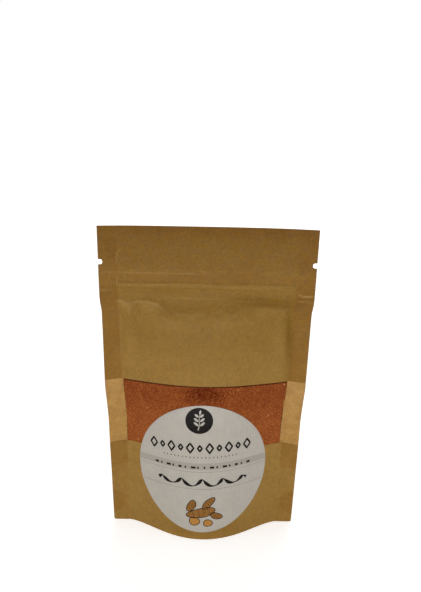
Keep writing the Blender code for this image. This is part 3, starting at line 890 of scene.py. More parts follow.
@dataclass(frozen=True)
class ClearFilm:
    """Clear sealing film: nearly invisible head-on, a faint veil at a slant."""

    name: str = "clear film"
    colour: Colour = (0.17, 0.165, 0.155)
    roughness: float = 0.62
    roughness_range: Point = (0.57, 0.70)
    specular: float = 0.10
    slant: float = 0.35
    head_on: float = 0.003
    at_slant: float = 0.04
    mottle_scale: float = 26.0
    bump: float = 0.12
    bump_height: float = 0.0003

    def build(self, effects: Effects) -> Material:
        """Builds the material."""
        finish = Finish(self.name, self.colour, self.roughness, self.specular)
        mottle = finish.use(effects.mottle, finish.sheet_place(), self.mottle_scale)
        facing = finish.add("ShaderNodeLayerWeight", None, Blend=self.slant).outputs["Facing"]
        alpha = finish.span(facing, 0.0, 1.0, self.head_on, self.at_slant)
        finish.wear(Alpha=alpha, Roughness=finish.span(mottle["Broad"], 0.0, 1.0, *self.roughness_range))
        finish.bump(mottle["Broad"], self.bump, self.bump_height)
        return finish.material


@dataclass(frozen=True)
class ZipPlastic:
    """Milky extruded polythene of the zip's tracks, with fine lines along them."""

    name: str = "zip plastic"
    colour: Colour = (0.70, 0.69, 0.66)
    second: Colour = (0.62, 0.61, 0.58)
    roughness: float = 0.38
    roughness_range: Point = (0.30, 0.48)
    line_scale: float = 1400.0
    line_stretch: tuple[float, float, float] = (0.02, 1.0, 1.0)
    line_range: Point = (0.3, 0.7)

    def build(self) -> Material:
        """Builds the material."""
        finish = Finish(self.name, self.colour, self.roughness)
        lines = finish.noise(finish.stretch(finish.object_place(), self.line_stretch), self.line_scale)
        finish.wear(Base_Color=finish.mix(lines, self.colour, self.second),
                    Roughness=finish.span(lines, *self.line_range, *self.roughness_range))
        return finish.material


@dataclass(frozen=True)
class GroundTurmeric:
    """Fine ground turmeric: matt, a dull orange brown, with small lumps and darker grains."""

    name: str = "ground turmeric"
    colour: Colour = (0.277, 0.0750, 0.0164)
    # Painted shade's colour; the gaps between grains darken towards it too
    shadow: Colour = (0.082, 0.0105, 0.0014)
    light: Colour = (0.346, 0.0995, 0.0225)
    pale: Colour = (0.480, 0.205, 0.0700)
    # The near-black of the painted shadow line under the upper paper's edge
    gap: Colour = (0.034, 0.009, 0.0030)
    glint: Colour = (0.560, 0.300, 0.130)
    grain_scale: float = 1350.0
    drift_scale: float = 110.0
    crumb_scale: float = 240.0
    glint_scale: float = 520.0
    drift_share: float = 0.30
    between_share: float = 0.46
    shade_share: float = 0.62
    sand_share: float = 0.06
    sand_range: Point = (0.70, 1.0)
    glint_share: float = 0.45
    glint_size: Point = (0.36, 0.18)
    glint_choice: Point = (0.955, 0.975)
    crumb_range: Point = (0.30, 0.62)
    crumb_least: float = 0.45
    shadow_line_range: Point = (1.0, 1.5)
    roughness: float = 0.95
    specular: float = 0.05
    bump: float = 0.5
    bump_height: float = 0.0003

    def build(self, effects: Effects) -> Material:
        """Builds the material."""
        finish = Finish(self.name, self.colour, self.roughness, self.specular)
        place = finish.object_place()
        grain = finish.use(effects.grain, place, self.grain_scale)
        drift = finish.use(effects.mottle, place, self.drift_scale)
        colour = finish.mix(finish.times(drift["Broad"], self.drift_share), self.colour, self.light)
        # The mesh's painted shade: darker in the main dip, towards the top and in a shadow line under the
        # paper's edge
        loose = finish.reading("powder_shade")
        # Darker gaps between grains, plus the painted shade, mixed towards the shadow colour
        between = finish.times(finish.math("SUBTRACT", 1.0, grain["Shade"]), self.between_share)
        shade_amount = finish.times(loose, self.shade_share)
        colour = finish.mix(finish.plus(between, shade_amount, clamp=True), colour, self.shadow)
        sand = finish.span(grain["Shade"], *self.sand_range, 0.0, self.sand_share)
        colour = finish.mix(finish.times(sand, finish.math("SUBTRACT", 1.0, shade_amount)), colour, self.pale)
        near, chosen = finish.cells(place, self.glint_scale)
        glinting = finish.span(chosen[0], *self.glint_choice)
        glint = finish.times(finish.span(near, *self.glint_size), glinting)
        colour = finish.mix(finish.times(glint, self.glint_share), colour, self.glint)
        crumbs = finish.noise(place, self.crumb_scale)
        crumbs = finish.span(crumbs, *self.crumb_range, self.crumb_least, 1.0)
        # The painted shadow line under the upper paper's edge, broken up by crumbs
        colour = finish.mix(finish.times(finish.span(loose, *self.shadow_line_range), crumbs), colour, self.gap)
        finish.wear(Base_Color=colour)
        finish.bump(grain["Height"], self.bump, self.bump_height)
        return finish.material


@dataclass(frozen=True)
class Ink:
    """Printing ink on the label's paper, slightly broken up by the paper's fibres."""

    name: str
    colour: Colour
    second: Colour
    roughness: float = 0.45
    specular: float = 0.08
    fibre_scale: float = 260.0

    def build(self, effects: Effects) -> Material:
        """Builds the material."""
        finish = Finish(self.name, self.colour, self.roughness, self.specular)
        fibre = finish.use(effects.fibre, finish.sheet_place(), self.fibre_scale)
        finish.wear(Base_Color=finish.mix(fibre["Shade"], self.colour, self.second))
        return finish.material


@dataclass
class Wardrobe:
    """Every finish of the pouch, built once."""

    effects: Effects = field(default_factory=Effects)

    def __post_init__(self) -> None:
        """Builds the finishes."""
        effects = self.effects
        self.kraft = KraftPaper().build(effects)
        self.inside = PlainPaper(
            "kraft inside", (0.366, 0.198, 0.043), (0.312, 0.158, 0.031)).build(effects)
        self.film = ClearFilm().build(effects)
        self.zip_plastic = ZipPlastic().build()
        self.turmeric = GroundTurmeric().build(effects)
        self.label = PlainPaper(
            "label paper", (0.390, 0.359, 0.312), (0.334, 0.304, 0.263), specular=0.3, fibre_scale=120.0,
            fibre_depth=0.03, rib=0.75).build(effects)
        self.black = Ink("black ink", (0.005, 0.0038, 0.003), (0.011, 0.0090, 0.007)).build(effects)
        self.grey = Ink("grey ink", (0.310, 0.285, 0.245), (0.290, 0.267, 0.228)).build(effects)
        self.hairline = Ink("pale grey ink", (0.235, 0.220, 0.195), (0.265, 0.250, 0.220)).build(effects)
        self.ochre = Ink("ochre ink", (0.280, 0.128, 0.030), (0.170, 0.072, 0.018)).build(effects)
        self.amber = Ink("amber ink", (0.400, 0.195, 0.045), (0.300, 0.135, 0.030)).build(effects)


@dataclass
class Panels:
    """The front's two papers and clear film, and the whole back."""

    form: PouchForm
    finishes: Wardrobe
    window_low: float = 53.0
    window_high: float = 90.8
    film: float = 0.06
    kraft: float = 0.12
    laminate: float = 0.18
    gap: float = 0.02
    lip: float = 0.3
    lip_fade: float = 1.6
    lip_end: float = 1.5
    seam_marks: tuple[float, ...] = (-2.0, -1.2, -0.6, 0.0, 0.5, 1.0)
    notch_marks: tuple[float, ...] = (-1.28, -1.12, -0.9, -0.6, -0.3, 0.0)
    zip_marks: tuple[float, ...] = (-2.2, -1.7, -1.2, -0.6, 0.0, 0.6, 1.2, 1.7, 2.2)
    foot_marks: tuple[float, ...] = (0.15, 0.4, 0.8, 1.2, 1.6, 35.0, 36.5, 38.0)
    mark_hair: float = 0.01
    mark_room: float = 0.05
    upper_step: float = 0.7
    lower_step: float = 1.0
    film_step: float = 1.1
    back_step: float = 0.95
    seal_bond: float = 0.80
    seal_rise: Point = (-0.4, 0.6)
    foot_loss: float = 0.62
    foot_fade: Point = (36.0, 39.0)
    punch_fade: Point = (-1.0, 0.6)
    flange_bond: float = 0.72
    flange_rise: Point = (0.8, 1.6)
    flange_fade: Point = (149.0, 149.8)
    header_bond: float = 0.45
    header_rise: Point = (149.0, 151.0)
    edge_bond: float = 0.5
    edge_rise: Point = (164.0, 172.0)
    # Painted shade up each panel: none low down, rising towards the top, most in the header
    painted_shade_knots: tuple[Point, ...] = (
        (0, 0), (53, 0), (90, 0.18), (110, 0.32), (128, 0.48), (137, 0.64), (144, 0.48), (149, 0.52),
        (150.5, 0.66), (158, 0.80), (166, 0.94), (172, 1.0))

    def columns(self, step: float) -> Values:
        """Returns the stations across a sheet, finer beside the seals' inner edges."""
        seam, half = self.form.panel_half, self.form.width / 2
        marks = [sign * (seam + shift) for sign in (-1, 1) for shift in self.seam_marks]
        return stations(-half, half, step, marks)

    def rows(self, low: float, high: float, step: float) -> Values:
        """Returns the stations up a sheet, finer at the tear notches, the zip and the foot."""
        form, hair = self.form, self.mark_hair
        steps = (-form.notch_half - hair, -form.notch_half + hair, *self.notch_marks)
        marks = [form.notch_height + sign * value for value in steps for sign in (-1, 1)]
        marks += [form.zip_line + shift for shift in self.zip_marks]
        marks += [*self.foot_marks, form.zip_low, form.zip_high]
        kept = [mark for mark in marks if low + self.mark_room < mark < high - self.mark_room]
        return stations(low, high, step, kept)

    def film_inner(self, across: Values, up: Values) -> Values:
        """Returns the offset of the film's inner face."""
        return self.form.space(across, up)

    def kraft_inner(self, across: Values, up: Values) -> Values:
        """Returns the offset of the front paper's inner face, a little lifted at the window's top edge."""
        seam = self.form.panel_half
        inside = 1 - smooth_step(np.abs(across), seam - self.lip_end, seam)
        lip = self.lip * inside * np.exp(-np.clip(up - self.window_high, 0, None) / self.lip_fade)
        lifted = np.where(up > self.window_high - 1, lip, 0)
        return self.form.space(across, up) + self.film + self.gap + lifted

    def bond(self, across: Values, up: Values) -> Values:
        """Returns how tightly the paper is bonded: most in the seals, the zip's flange and the top."""
        form = self.form
        side = smooth_step(np.abs(across) - form.panel_half, *self.seal_rise)
        rise, full = self.flange_rise
        flange = smooth_step(up, form.zip_line + rise, form.zip_line + full)
        flange = flange * (1 - smooth_step(up, *self.flange_fade))
        from_punch = np.hypot(np.abs(across) - form.width / 2, up - form.punch_height) - form.punch_radius
        foot = 1 - smooth_step(up, *self.foot_fade)
        side = side * (1 - self.foot_loss * foot * smooth_step(from_punch, *self.punch_fade))
        top = self.header_bond * smooth_step(up, *self.header_rise)
        top = top + self.edge_bond * smooth_step(up, *self.edge_rise)
        return np.clip(np.maximum.reduce([self.seal_bond * side, self.flange_bond * flange, top]), 0, 1)

    def painted_shade(self, relief: Relief) -> Offset:
        """Returns a reader of a panel's painted shade: darker towards the top, most in the header."""
        def read(across: Values, up: Values) -> Values:
            """Reads the painted shade, from 0 to 1."""
            return np.clip(smooth_through(self.painted_shade_knots, up) + relief.tone(across, up), 0, 1)

        return read

    def sheet(self, name: str, side: Side, relief: Relief, low: float, high: float, step: float,
              inner: Offset, thickness: float, finishes: Sequence[Material]) -> Piece:
        """Makes one web as wide as the pouch.

        Args:
            name: the piece's name.
            side: the panel it lies in.
            relief: the panel's dents and creases.
            low: its lower edge.
            high: its upper edge.
            step: the widest gap between stations.
            inner: its inner face's offset.
            thickness: its own thickness.
            finishes: the outer and the inner face's material.

        Returns:
            The new object.
        """
        mesh_data = flat_sheet(self.columns(step), self.rows(low, high, step))
        # Marks for the materials: paleness from cracked creases and painted highlights, the bond, and
        # painted shade darker towards the top
        marks = {"wear_and_highlight": relief.paleness, "bond": self.bond, "painted_shade": self.painted_shade(relief)}
        Bender(self.form, side, relief).bend(mesh_data, inner, thickness, marks)
        return new_piece(name, mesh_data, finishes)

    def build(self) -> None:
        """Makes the four webs."""
        top, made = self.form.height, self.finishes
        paper = (made.kraft, made.inside)
        upper = self.sheet("kraft_upper", Side.FRONT, FRONT_RELIEF, self.window_high, top,
                           self.upper_step, self.kraft_inner, self.kraft, paper)
        hang_on_frame(upper, "kraft", "front_kraft_upper")
        lower = self.sheet("kraft_lower", Side.FRONT, FRONT_RELIEF, 0.0, self.window_low,
                           self.lower_step, self.kraft_inner, self.kraft, paper)
        hang_on_frame(lower, "kraft", "front_kraft_lower")
        film = self.sheet("window_film", Side.FRONT, FRONT_RELIEF, 0.0, top, self.film_step,
                          self.film_inner, self.film, (made.film, made.film))
        hang_on_frame(film, "clear_film", "front_film")
        back = self.sheet("kraft_back", Side.BACK, BACK_RELIEF, 0.0, top, self.back_step,
                          self.film_inner, self.laminate, paper)
        hang_on_frame(back, "kraft_laminate", "back_panel")


def loft(name: str, sections: Values, finishes: Sequence[Material]) -> Piece:
    """Rolls a grid round a row of closed outlines, and closes its two ends.

    Args:
        name: the piece's name.
        sections: outlines with equal numbers of points, in metres.
        finishes: the piece's materials.

    Returns:
        The new object.
    """
    count, points = len(sections), len(sections[0])
    mesh_data = bmesh.new()
    bmesh.ops.create_grid(mesh_data, x_segments=count - 1, y_segments=points, size=0.5)
    for vert in mesh_data.verts:
        section = round((vert.co.x + 0.5) * (count - 1))
        point = round((vert.co.y + 0.5) * points) % points
        vert.co = sections[section][point]
    bmesh.ops.remove_doubles(mesh_data, verts=mesh_data.verts, dist=WELD)
    bmesh.ops.holes_fill(mesh_data, edges=mesh_data.edges, sides=0)
    bmesh.ops.dissolve_degenerate(mesh_data, dist=SLIVER, edges=mesh_data.edges)
    return new_piece(name, mesh_data, finishes)


@dataclass
class Gusset:
    """The folded bottom web, sealed between the panels, with its two corners punched."""

    form: PouchForm
    finishes: Wardrobe
    tall: float = 35.0
    outer: float = 0.20
    web: float = 0.12
    fold_middle: float = 1.25
    fold_seal: float = 30.0
    fold_power: float = 6
    fold_samples: int = 400
    station_step: float = 1.6
    steps: int = 15
    step_power: float = 1.6
    tight_from: float = 0.8
    tight_low: float = 0.93
    tight_steps: tuple[float, ...] = (0.95, 0.965, 0.98, 0.99, 1.0)
    punch_sides: int = 48
    punch_depth: float = 20.0

    def fold(self, across: float) -> tuple[float, float]:
        """Returns the fold's height and how square-shouldered the web is, at this place across."""
        if abs(across) >= self.form.panel_half:
            return self.tall, self.fold_seal
        depth = float(self.form.depth(np.array(across), np.array(0.0)) + self.outer)
        share = (abs(across) / self.form.panel_half) ** self.fold_power
        square = self.fold_middle + (self.fold_seal - self.fold_middle) * share
        return math.sqrt(self.tall ** 2 - depth ** 2), square

    def half_depth(self, across: float, up: Values) -> tuple[Values, Values, Values]:
        """Finds the web's outer face.

        Args:
            across: the place across the flat web.
            up: heights above the base.

        Returns:
            x of the web, y of the seam and how far the web's face is from it, in millimetres.
        """
        tall, square = self.fold(across)
        places = np.full(np.shape(up), float(across))
        offset = np.full(np.shape(up), self.outer)
        point = self.form.place(Side.FRONT, places, up, offset, 0.0 * places) / MM
        seam = np.zeros(np.shape(up))
        if abs(across) > self.form.panel_half:
            seam = self.form.middle(Side.FRONT, places, up)[1]
        taper = np.clip(1 - (up / tall) ** square, 0, None)
        return point[:, 0], seam, np.abs(point[:, 1] - seam) * taper

    def inner_fold(self, across: float) -> float:
        """Returns the height at which the folded web's two inner faces meet."""
        heights = np.linspace(0, self.fold(across)[0], self.fold_samples)
        depth = self.half_depth(across, heights)[2]
        return float(heights[np.nonzero(depth > self.web)[0][-1]])

    def section(self, across: float) -> Values:
        """Returns the web's outline at one place across: up the front, over the fold and back inside."""
        share = 1 - (1 - np.linspace(0, 1, self.steps)) ** self.step_power
        if abs(across) > self.tight_from * self.form.panel_half:
            even = np.linspace(0, self.tight_low, self.steps - len(self.tight_steps))
            share = np.concatenate([even, self.tight_steps])
        lines = []
        for top, web in ((self.fold(across)[0], 0.0), (self.inner_fold(across), self.web)):
            x, seam, depth = self.half_depth(across, share * top)
            lines.append((x, seam, np.clip(depth - web, 0, None), share * top))
        (x, seam, depth, up), (x_in, seam_in, depth_in, up_in) = lines
        front = np.stack([x, seam - depth, up], 1)
        back = np.stack([x, seam + depth, up], 1)[-2::-1]
        back_in = np.stack([x_in, seam_in + depth_in, up_in], 1)[:-1]
        front_in = np.stack([x_in, seam_in - depth_in, up_in], 1)[::-1]
        return np.concatenate([front, back, back_in, front_in]) * MM

    def punch(self) -> Piece:
        """Makes the cutter that punches both corners."""
        half, height = np.array([self.form.width / 2]), np.array([self.form.punch_height])
        radius = self.form.punch_radius * MM
        mesh_data = bmesh.new()
        for sign in (-1, 1):
            edge = self.form.place(Side.FRONT, sign * half, height, np.zeros(1), np.zeros(1))[0]
            matrix = Matrix.Translation(Vector(edge)) @ Matrix.Rotation(math.pi / 2, 4, "X")
            bmesh.ops.create_cone(mesh_data, cap_ends=True, segments=self.punch_sides, radius1=radius,
                                  radius2=radius, depth=self.punch_depth * MM, matrix=matrix)
        return new_piece("punch", mesh_data, ())

    def build(self) -> None:
        """Makes the web and punches its corners."""
        half, seam = self.form.width / 2, self.form.panel_half
        places = stations(-half, half, self.station_step, (-seam, seam))
        sections = np.array([self.section(place) for place in places])
        made = loft("gusset_web", sections, (self.finishes.inside,))
        cutter = self.punch()
        boolean = made.modifiers.new("punched corners", "BOOLEAN")
        boolean.operation = "DIFFERENCE"
        boolean.solver = "EXACT"
        boolean.object = cutter
        bpy.context.view_layer.update()
        graph = bpy.context.evaluated_depsgraph_get()
        made.data = bpy.data.meshes.new_from_object(made.evaluated_get(graph))
        made.modifiers.clear()
        bpy.data.objects.remove(cutter)
        hang_on_frame(made, "kraft_laminate", "gusset_panel")


@dataclass
class Powder:
    """The ground turmeric: it fills the pouch beside and above the gusset, up past the window."""

    form: PouchForm
    gusset: Gusset
    finishes: Wardrobe
    top: float = 97.0
    brink: float = 90.6
    brink_rows: tuple[float, ...] = (-0.95, -0.8, -0.65, 0.6)
    # Where the painted shadow line rises, just below the upper paper's edge
    shadow_line_rise: Point = (-0.95, -0.65)
    rows: int = 84
    rows_end: float = 1.2
    crown_low: float = 2.0
    crown_rows: int = 4
    bed_rows: int = 16
    station_step: float = 1.0
    ragged: float = 0.55
    ragged_power: float = 30
    ragged_waves: Point = (1.9, 0.7)
    slump: float = 0.6
    slump_range: Point = (70.0, 84.0)
    slump_power: float = 18
    reach: float = 0.995
    pocket: float = 0.35
    clear: float = 0.10
    over_fold: float = 0.3
    under_saddle: float = 0.4
    foot: float = 2.0
    bed_power: float = 8
    samples: int = 300
    # Painted shade on the powder: darker towards the top and in the main dip
    shade_amount: float = 0.36
    top_shade_range: Point = (64.0, 84.0)
    hollow_shade: float = 0.8
    # How dark the painted shadow line is
    shadow_line_dark: float = 1.6
    hollows: tuple[Swell, ...] = (
        Swell(-0.5, 86.8, 9.5, 4.4, -1.00),
        Swell(-17.0, 87.0, 9.0, 3.0, -0.15),
        Swell(22.0, 84.0, 7.0, 3.5, -0.12),
    )

    def face(self, side: Side, across: float, up: Values) -> tuple[Values, Values]:
        """Returns x and the distance from the seam plane of the powder's outer face, in millimetres."""
        places, flat = np.full(len(up), float(across)), np.zeros(len(up))
        if side is Side.FRONT:
            lift = FRONT_RELIEF.lift(places, up) + Relief(self.hollows).lift(places, up)
        else:
            lift = BACK_RELIEF.lift(places, up)
        point = self.form.place(side, places, up, flat, lift) / MM
        return point[:, 0], side.value * (point[:, 1] - self.form.warp(places, up))

    def powder_shading(self, places: Values) -> Values:
        """Returns how much painted shade the powder gets at its vertices.

        Args:
            places: the vertices, in millimetres.

        Returns:
            From 0 to 1, more for the painted shadow line under the upper paper's edge, and none at the
            back.
        """
        across, up = places[:, 0], places[:, 2]
        # Painted shade in the main dip, and darker towards the top
        dent = self.hollows[0].lift(across, up) / self.hollows[0].rise
        shade_amount = self.shade_amount * smooth_step(up, *self.top_shade_range)
        # Painted shadow line under the upper paper's edge
        gap = smooth_step(up - self.brink, *self.shadow_line_rise)
        front = np.maximum(np.clip(self.hollow_shade * dent + shade_amount, 0, 1), self.shadow_line_dark * gap)
        return np.where(places[:, 1] < 0, front, 0)

    def lowest(self, across: float, saddle: float) -> float:
        """Returns where the pocket between the web and the panel gets too thin for powder."""
        heights = np.linspace(self.foot, saddle, self.samples)
        web = self.gusset.half_depth(across, heights)[2]
        room = np.abs(self.form.depth(np.full(self.samples, float(across)), heights)) - web
        thin = np.nonzero(room < self.pocket)[0]
        return min(heights[thin[-1]] if len(thin) else heights[0], saddle - self.under_saddle)

    def section(self, across: float) -> Values:
        """Returns the powder's outline: two pockets beside the folded web, joined above its fold."""
        saddle = self.gusset.fold(across)[0] + self.over_fold
        low = self.lowest(across, saddle)
        outer = np.concatenate([
            np.linspace(low, self.brink - self.rows_end, self.rows),
            [self.brink + row for row in self.brink_rows],
            np.linspace(self.brink + self.crown_low, self.top, self.crown_rows)])
        x, front = self.face(Side.FRONT, across, outer)
        _, back = self.face(Side.BACK, across, outer)
        share = abs(across) / self.form.panel_half
        quick, slow = self.ragged_waves
        wave = np.sin(outer * quick + across) * np.sin(outer * slow)
        x = x - math.copysign(self.ragged, across) * (0.5 + 0.5 * wave) * share ** self.ragged_power
        if across > 0:
            x = x - self.slump * (1 - smooth_step(outer, *self.slump_range)) * share ** self.slump_power
        inner = np.linspace(low, saddle, self.bed_rows)
        x_in, _, web = self.gusset.half_depth(across, inner)
        depth = self.form.depth(np.full(self.bed_rows, float(across)), inner)
        bed = np.clip(np.minimum(web + self.clear, np.abs(depth) - self.pocket / 2), 0, None)
        bed = bed * (1 - ((inner - low) / (saddle - low)) ** self.bed_power)
        return np.concatenate([
            np.stack([x, -front, outer], 1), np.stack([x, back, outer], 1)[::-1],
            np.stack([x_in, bed, inner], 1), np.stack([x_in, -bed, inner], 1)[-2::-1]]) * MM

    def build(self) -> None:
        """Makes the powder."""
        half = self.reach * self.form.panel_half
        sections = np.array([self.section(place) for place in stations(-half, half, self.station_step)])
        made = loft("turmeric_powder", sections, (self.finishes.turmeric,))
        places = np.array([vert.co for vert in made.data.vertices]) / MM
        level = made.data.attributes.new("powder_shade", "FLOAT", "POINT")
        # Painted shade that the powder's material reads
        level.data.foreach_set("value", self.powder_shading(places).astype(np.float32))
        hang_on_frame(made, "turmeric", "powder_fill")


@dataclass
class Zip:
    """The press-to-close zip: lipped jaws on the front web, a hooked rib on the back one."""

    form: PouchForm
    finishes: Wardrobe
    wall: float = 0.12
    web_gap: float = 0.03
    mouth: float = 0.35
    lip: float = 0.45
    jaw: float = 0.95
    jaw_reach: float = 0.25
    tip: float = 0.1
    tip_reach: float = 0.45
    tip_gap: float = 0.02
    hook: float = 0.35
    hook_reach: float = 0.2
    stem: float = 0.25
    crest: float = 0.8
    flank: tuple[float, ...] = (0.3, 1.2, 2.2)
    flank_at: float = 1.5
    uncrushed: float = 0.6
    end_gap: float = 0.4
    station_step: float = 4.0

    def outline(self, side: Side, across: float) -> list[Point]:
        """Returns a track's outline as offset and height, flattened where it is crushed in the seals."""
        form, line = self.form, self.form.zip_line
        outer, crest = (float(form.space(np.array(across), np.array(up))) - self.web_gap
                        for up in (form.zip_low + self.flank_at, line))
        root, end = outer - self.wall, form.zip_high - self.flank[0]
        squeeze = root / self.uncrushed if abs(across) > form.panel_half else 1.0
        if side is Side.FRONT:
            roof, inward = crest - self.wall, -self.jaw_reach * squeeze
            half = [(roof, self.mouth), (roof, self.lip), (inward, self.lip), (inward, self.jaw),
                    (root, self.jaw)]
        else:
            tip, inward = -self.tip_reach * squeeze + self.tip_gap, -self.hook_reach * squeeze
            half = [(tip, self.tip), (tip, self.hook), (inward, self.hook), (inward, self.stem),
                    (root, self.stem)]
        outside = [(outer, form.zip_low + rise) for rise in self.flank]
        outside += [(outer, line - form.rib_half), (crest, line - self.crest), (crest, line + self.crest),
                    (outer, line + form.rib_half), (outer, end)]
        inside = [(root, end)] + [(offset, line + rise) for offset, rise in reversed(half)]
        inside += [(offset, line - rise) for offset, rise in half] + [(root, form.zip_low + self.flank[0])]
        return outside + inside

    def track(self, name: str, side: Side) -> Piece:
        """Makes one track."""
        half, seam = self.form.width / 2 - self.end_gap, self.form.panel_half
        sections = []
        for place in stations(-half, half, self.station_step, (-seam - 1, -seam + 1, seam - 1, seam + 1)):
            offset, up = (np.array(column) for column in zip(*self.outline(side, place)))
            sections.append(self.form.place(side, np.full(len(up), place), up, offset, 0.0 * up))
        return loft(name, np.array(sections), (self.finishes.zip_plastic,))

    def build(self) -> None:
        """Makes both tracks."""
        hang_on_frame(self.track("zip_jaws", Side.FRONT), "zip_plastic", "zip_track_front")
        hang_on_frame(self.track("zip_rib", Side.BACK), "zip_plastic", "zip_track_back")


def curve_through(points: Sequence[Point], steps: int = 6) -> list[Point]:
    """Rounds a path through its points with a cubic curve between each two."""
    knots = np.array([points[0], *points, points[-1]], float)
    made = []
    for a, b, c, d in zip(knots, knots[1:], knots[2:], knots[3:]):
        for t in np.linspace(0, 1, steps, endpoint=False):
            spot = 0.5 * (2 * b + (c - a) * t + (2 * a - 5 * b + 4 * c - d) * t ** 2
                          + (3 * b - a - 3 * c + d) * t ** 3)
            made.append((float(spot[0]), float(spot[1])))
    return made + [tuple(map(float, points[-1]))]


class Pen:
    """Draws flat printed shapes, all of one ink, in one bmesh."""

    ring_width = 1.3
    line_step = 0.7

    def __init__(self) -> None:
        """Starts an empty sheet."""
        self.mesh_data = bmesh.new()

    def oval(self, centre: Point, wide: float, tall: float, turn: float = 0.0, sides: int = 32) -> None:
        """Prints a filled oval.

        Args:
            centre: its middle.
            wide: half its width.
            tall: half its height.
            turn: its lean, in degrees.
            sides: how many sides its outline has.
        """
        faces = set(self.mesh_data.faces)
        made = bmesh.ops.create_circle(self.mesh_data, cap_ends=True, segments=sides, radius=1.0)
        lone = [face for face in self.mesh_data.faces if face not in faces]
        corners = set(made["verts"])
        rings = math.ceil(max(wide, tall) / self.ring_width)
        for _ in range(rings - 1):
            bmesh.ops.inset_individual(self.mesh_data, faces=lone, thickness=1 / rings)
            corners.update(vert for face in lone for vert in face.verts)
        if rings > 1:
            middle = bmesh.ops.poke(self.mesh_data, faces=lone)
            corners.update(middle["verts"])
        matrix = Matrix.Translation((*centre, 0)) @ Matrix.Rotation(math.radians(turn), 4, "Z")
        matrix = matrix @ Matrix.Diagonal((wide, tall, 1, 1))
        bmesh.ops.transform(self.mesh_data, matrix=matrix, verts=list(corners))

    def line(self, path: Sequence[Point], widths: Sequence[float], closed: bool = False) -> None:
        """Prints a ribbon along a path.

        Args:
            path: the points that it follows.
            widths: its width at each of these points.
            closed: whether it joins up with its start.
        """
        points, broad = np.array(path, float), np.array(widths, float)
        if closed:
            points, broad = np.vstack([points, points[:1]]), np.append(broad, broad[0])
        lengths = np.concatenate([[0], np.cumsum(np.hypot(*np.diff(points, axis=0).T))])
        steps = np.linspace(0, lengths[-1], max(2, math.ceil(lengths[-1] / self.line_step) + 1))
        line = np.stack([np.interp(steps, lengths, points[:, i]) for i in (0, 1)], 1)
        broad = np.interp(steps, lengths, broad)
        ahead = np.gradient(line, axis=0)
        if closed:
            ahead[0] = ahead[-1] = line[1] - line[-2]
        ahead /= np.hypot(*ahead.T)[:, None]
        beside = np.stack([-ahead[:, 1], ahead[:, 0]], 1)
        made = bmesh.ops.create_grid(self.mesh_data, x_segments=len(line) - 1, y_segments=1, size=0.5)
        for vert in made["verts"]:
            i = round((vert.co.x + 0.5) * (len(line) - 1))
            spot = line[i] + beside[i] * math.copysign(broad[i] / 2, vert.co.y)
            vert.co = (spot[0], spot[1], 0)

    def rule(self, middle: float, half: float, up: float, width: float) -> None:
        """Prints a straight level rule, half as long each side of its middle."""
        self.line(((middle - half, up), (middle + half, up)), (width, width))

    def stroke(self, points: Sequence[Point], start: float, end: float) -> None:
        """Prints a smooth stroke through points, whose width runs from start to end."""
        path = curve_through(points)
        self.line(path, np.linspace(start, end, len(path)))


@dataclass(frozen=True)
class Finger:
    """A finger or a cut slice of the drawn rhizome: its middle, half length, half breadth and lean."""

    x: float
    y: float
    long: float
    broad: float
    lean: float = 0.0

    def spot(self, along: float, over: float) -> Point:
        """Returns the place of a point that is measured along the finger and across it."""
        turn = math.radians(self.lean)
        return (self.x + along * math.cos(turn) - over * math.sin(turn),
                self.y + along * math.sin(turn) + over * math.cos(turn))

    def outline(self, sides: int = 24, wobble: float = 0.05) -> list[Point]:
        """Returns its uneven outline."""
        made = []
        for i in range(sides):
            angle = 2 * math.pi * i / sides
            size = 1 + wobble * math.sin(3 * angle + self.x)
            made.append(self.spot(self.long * size * math.cos(angle), self.broad * size * math.sin(angle)))
        return made


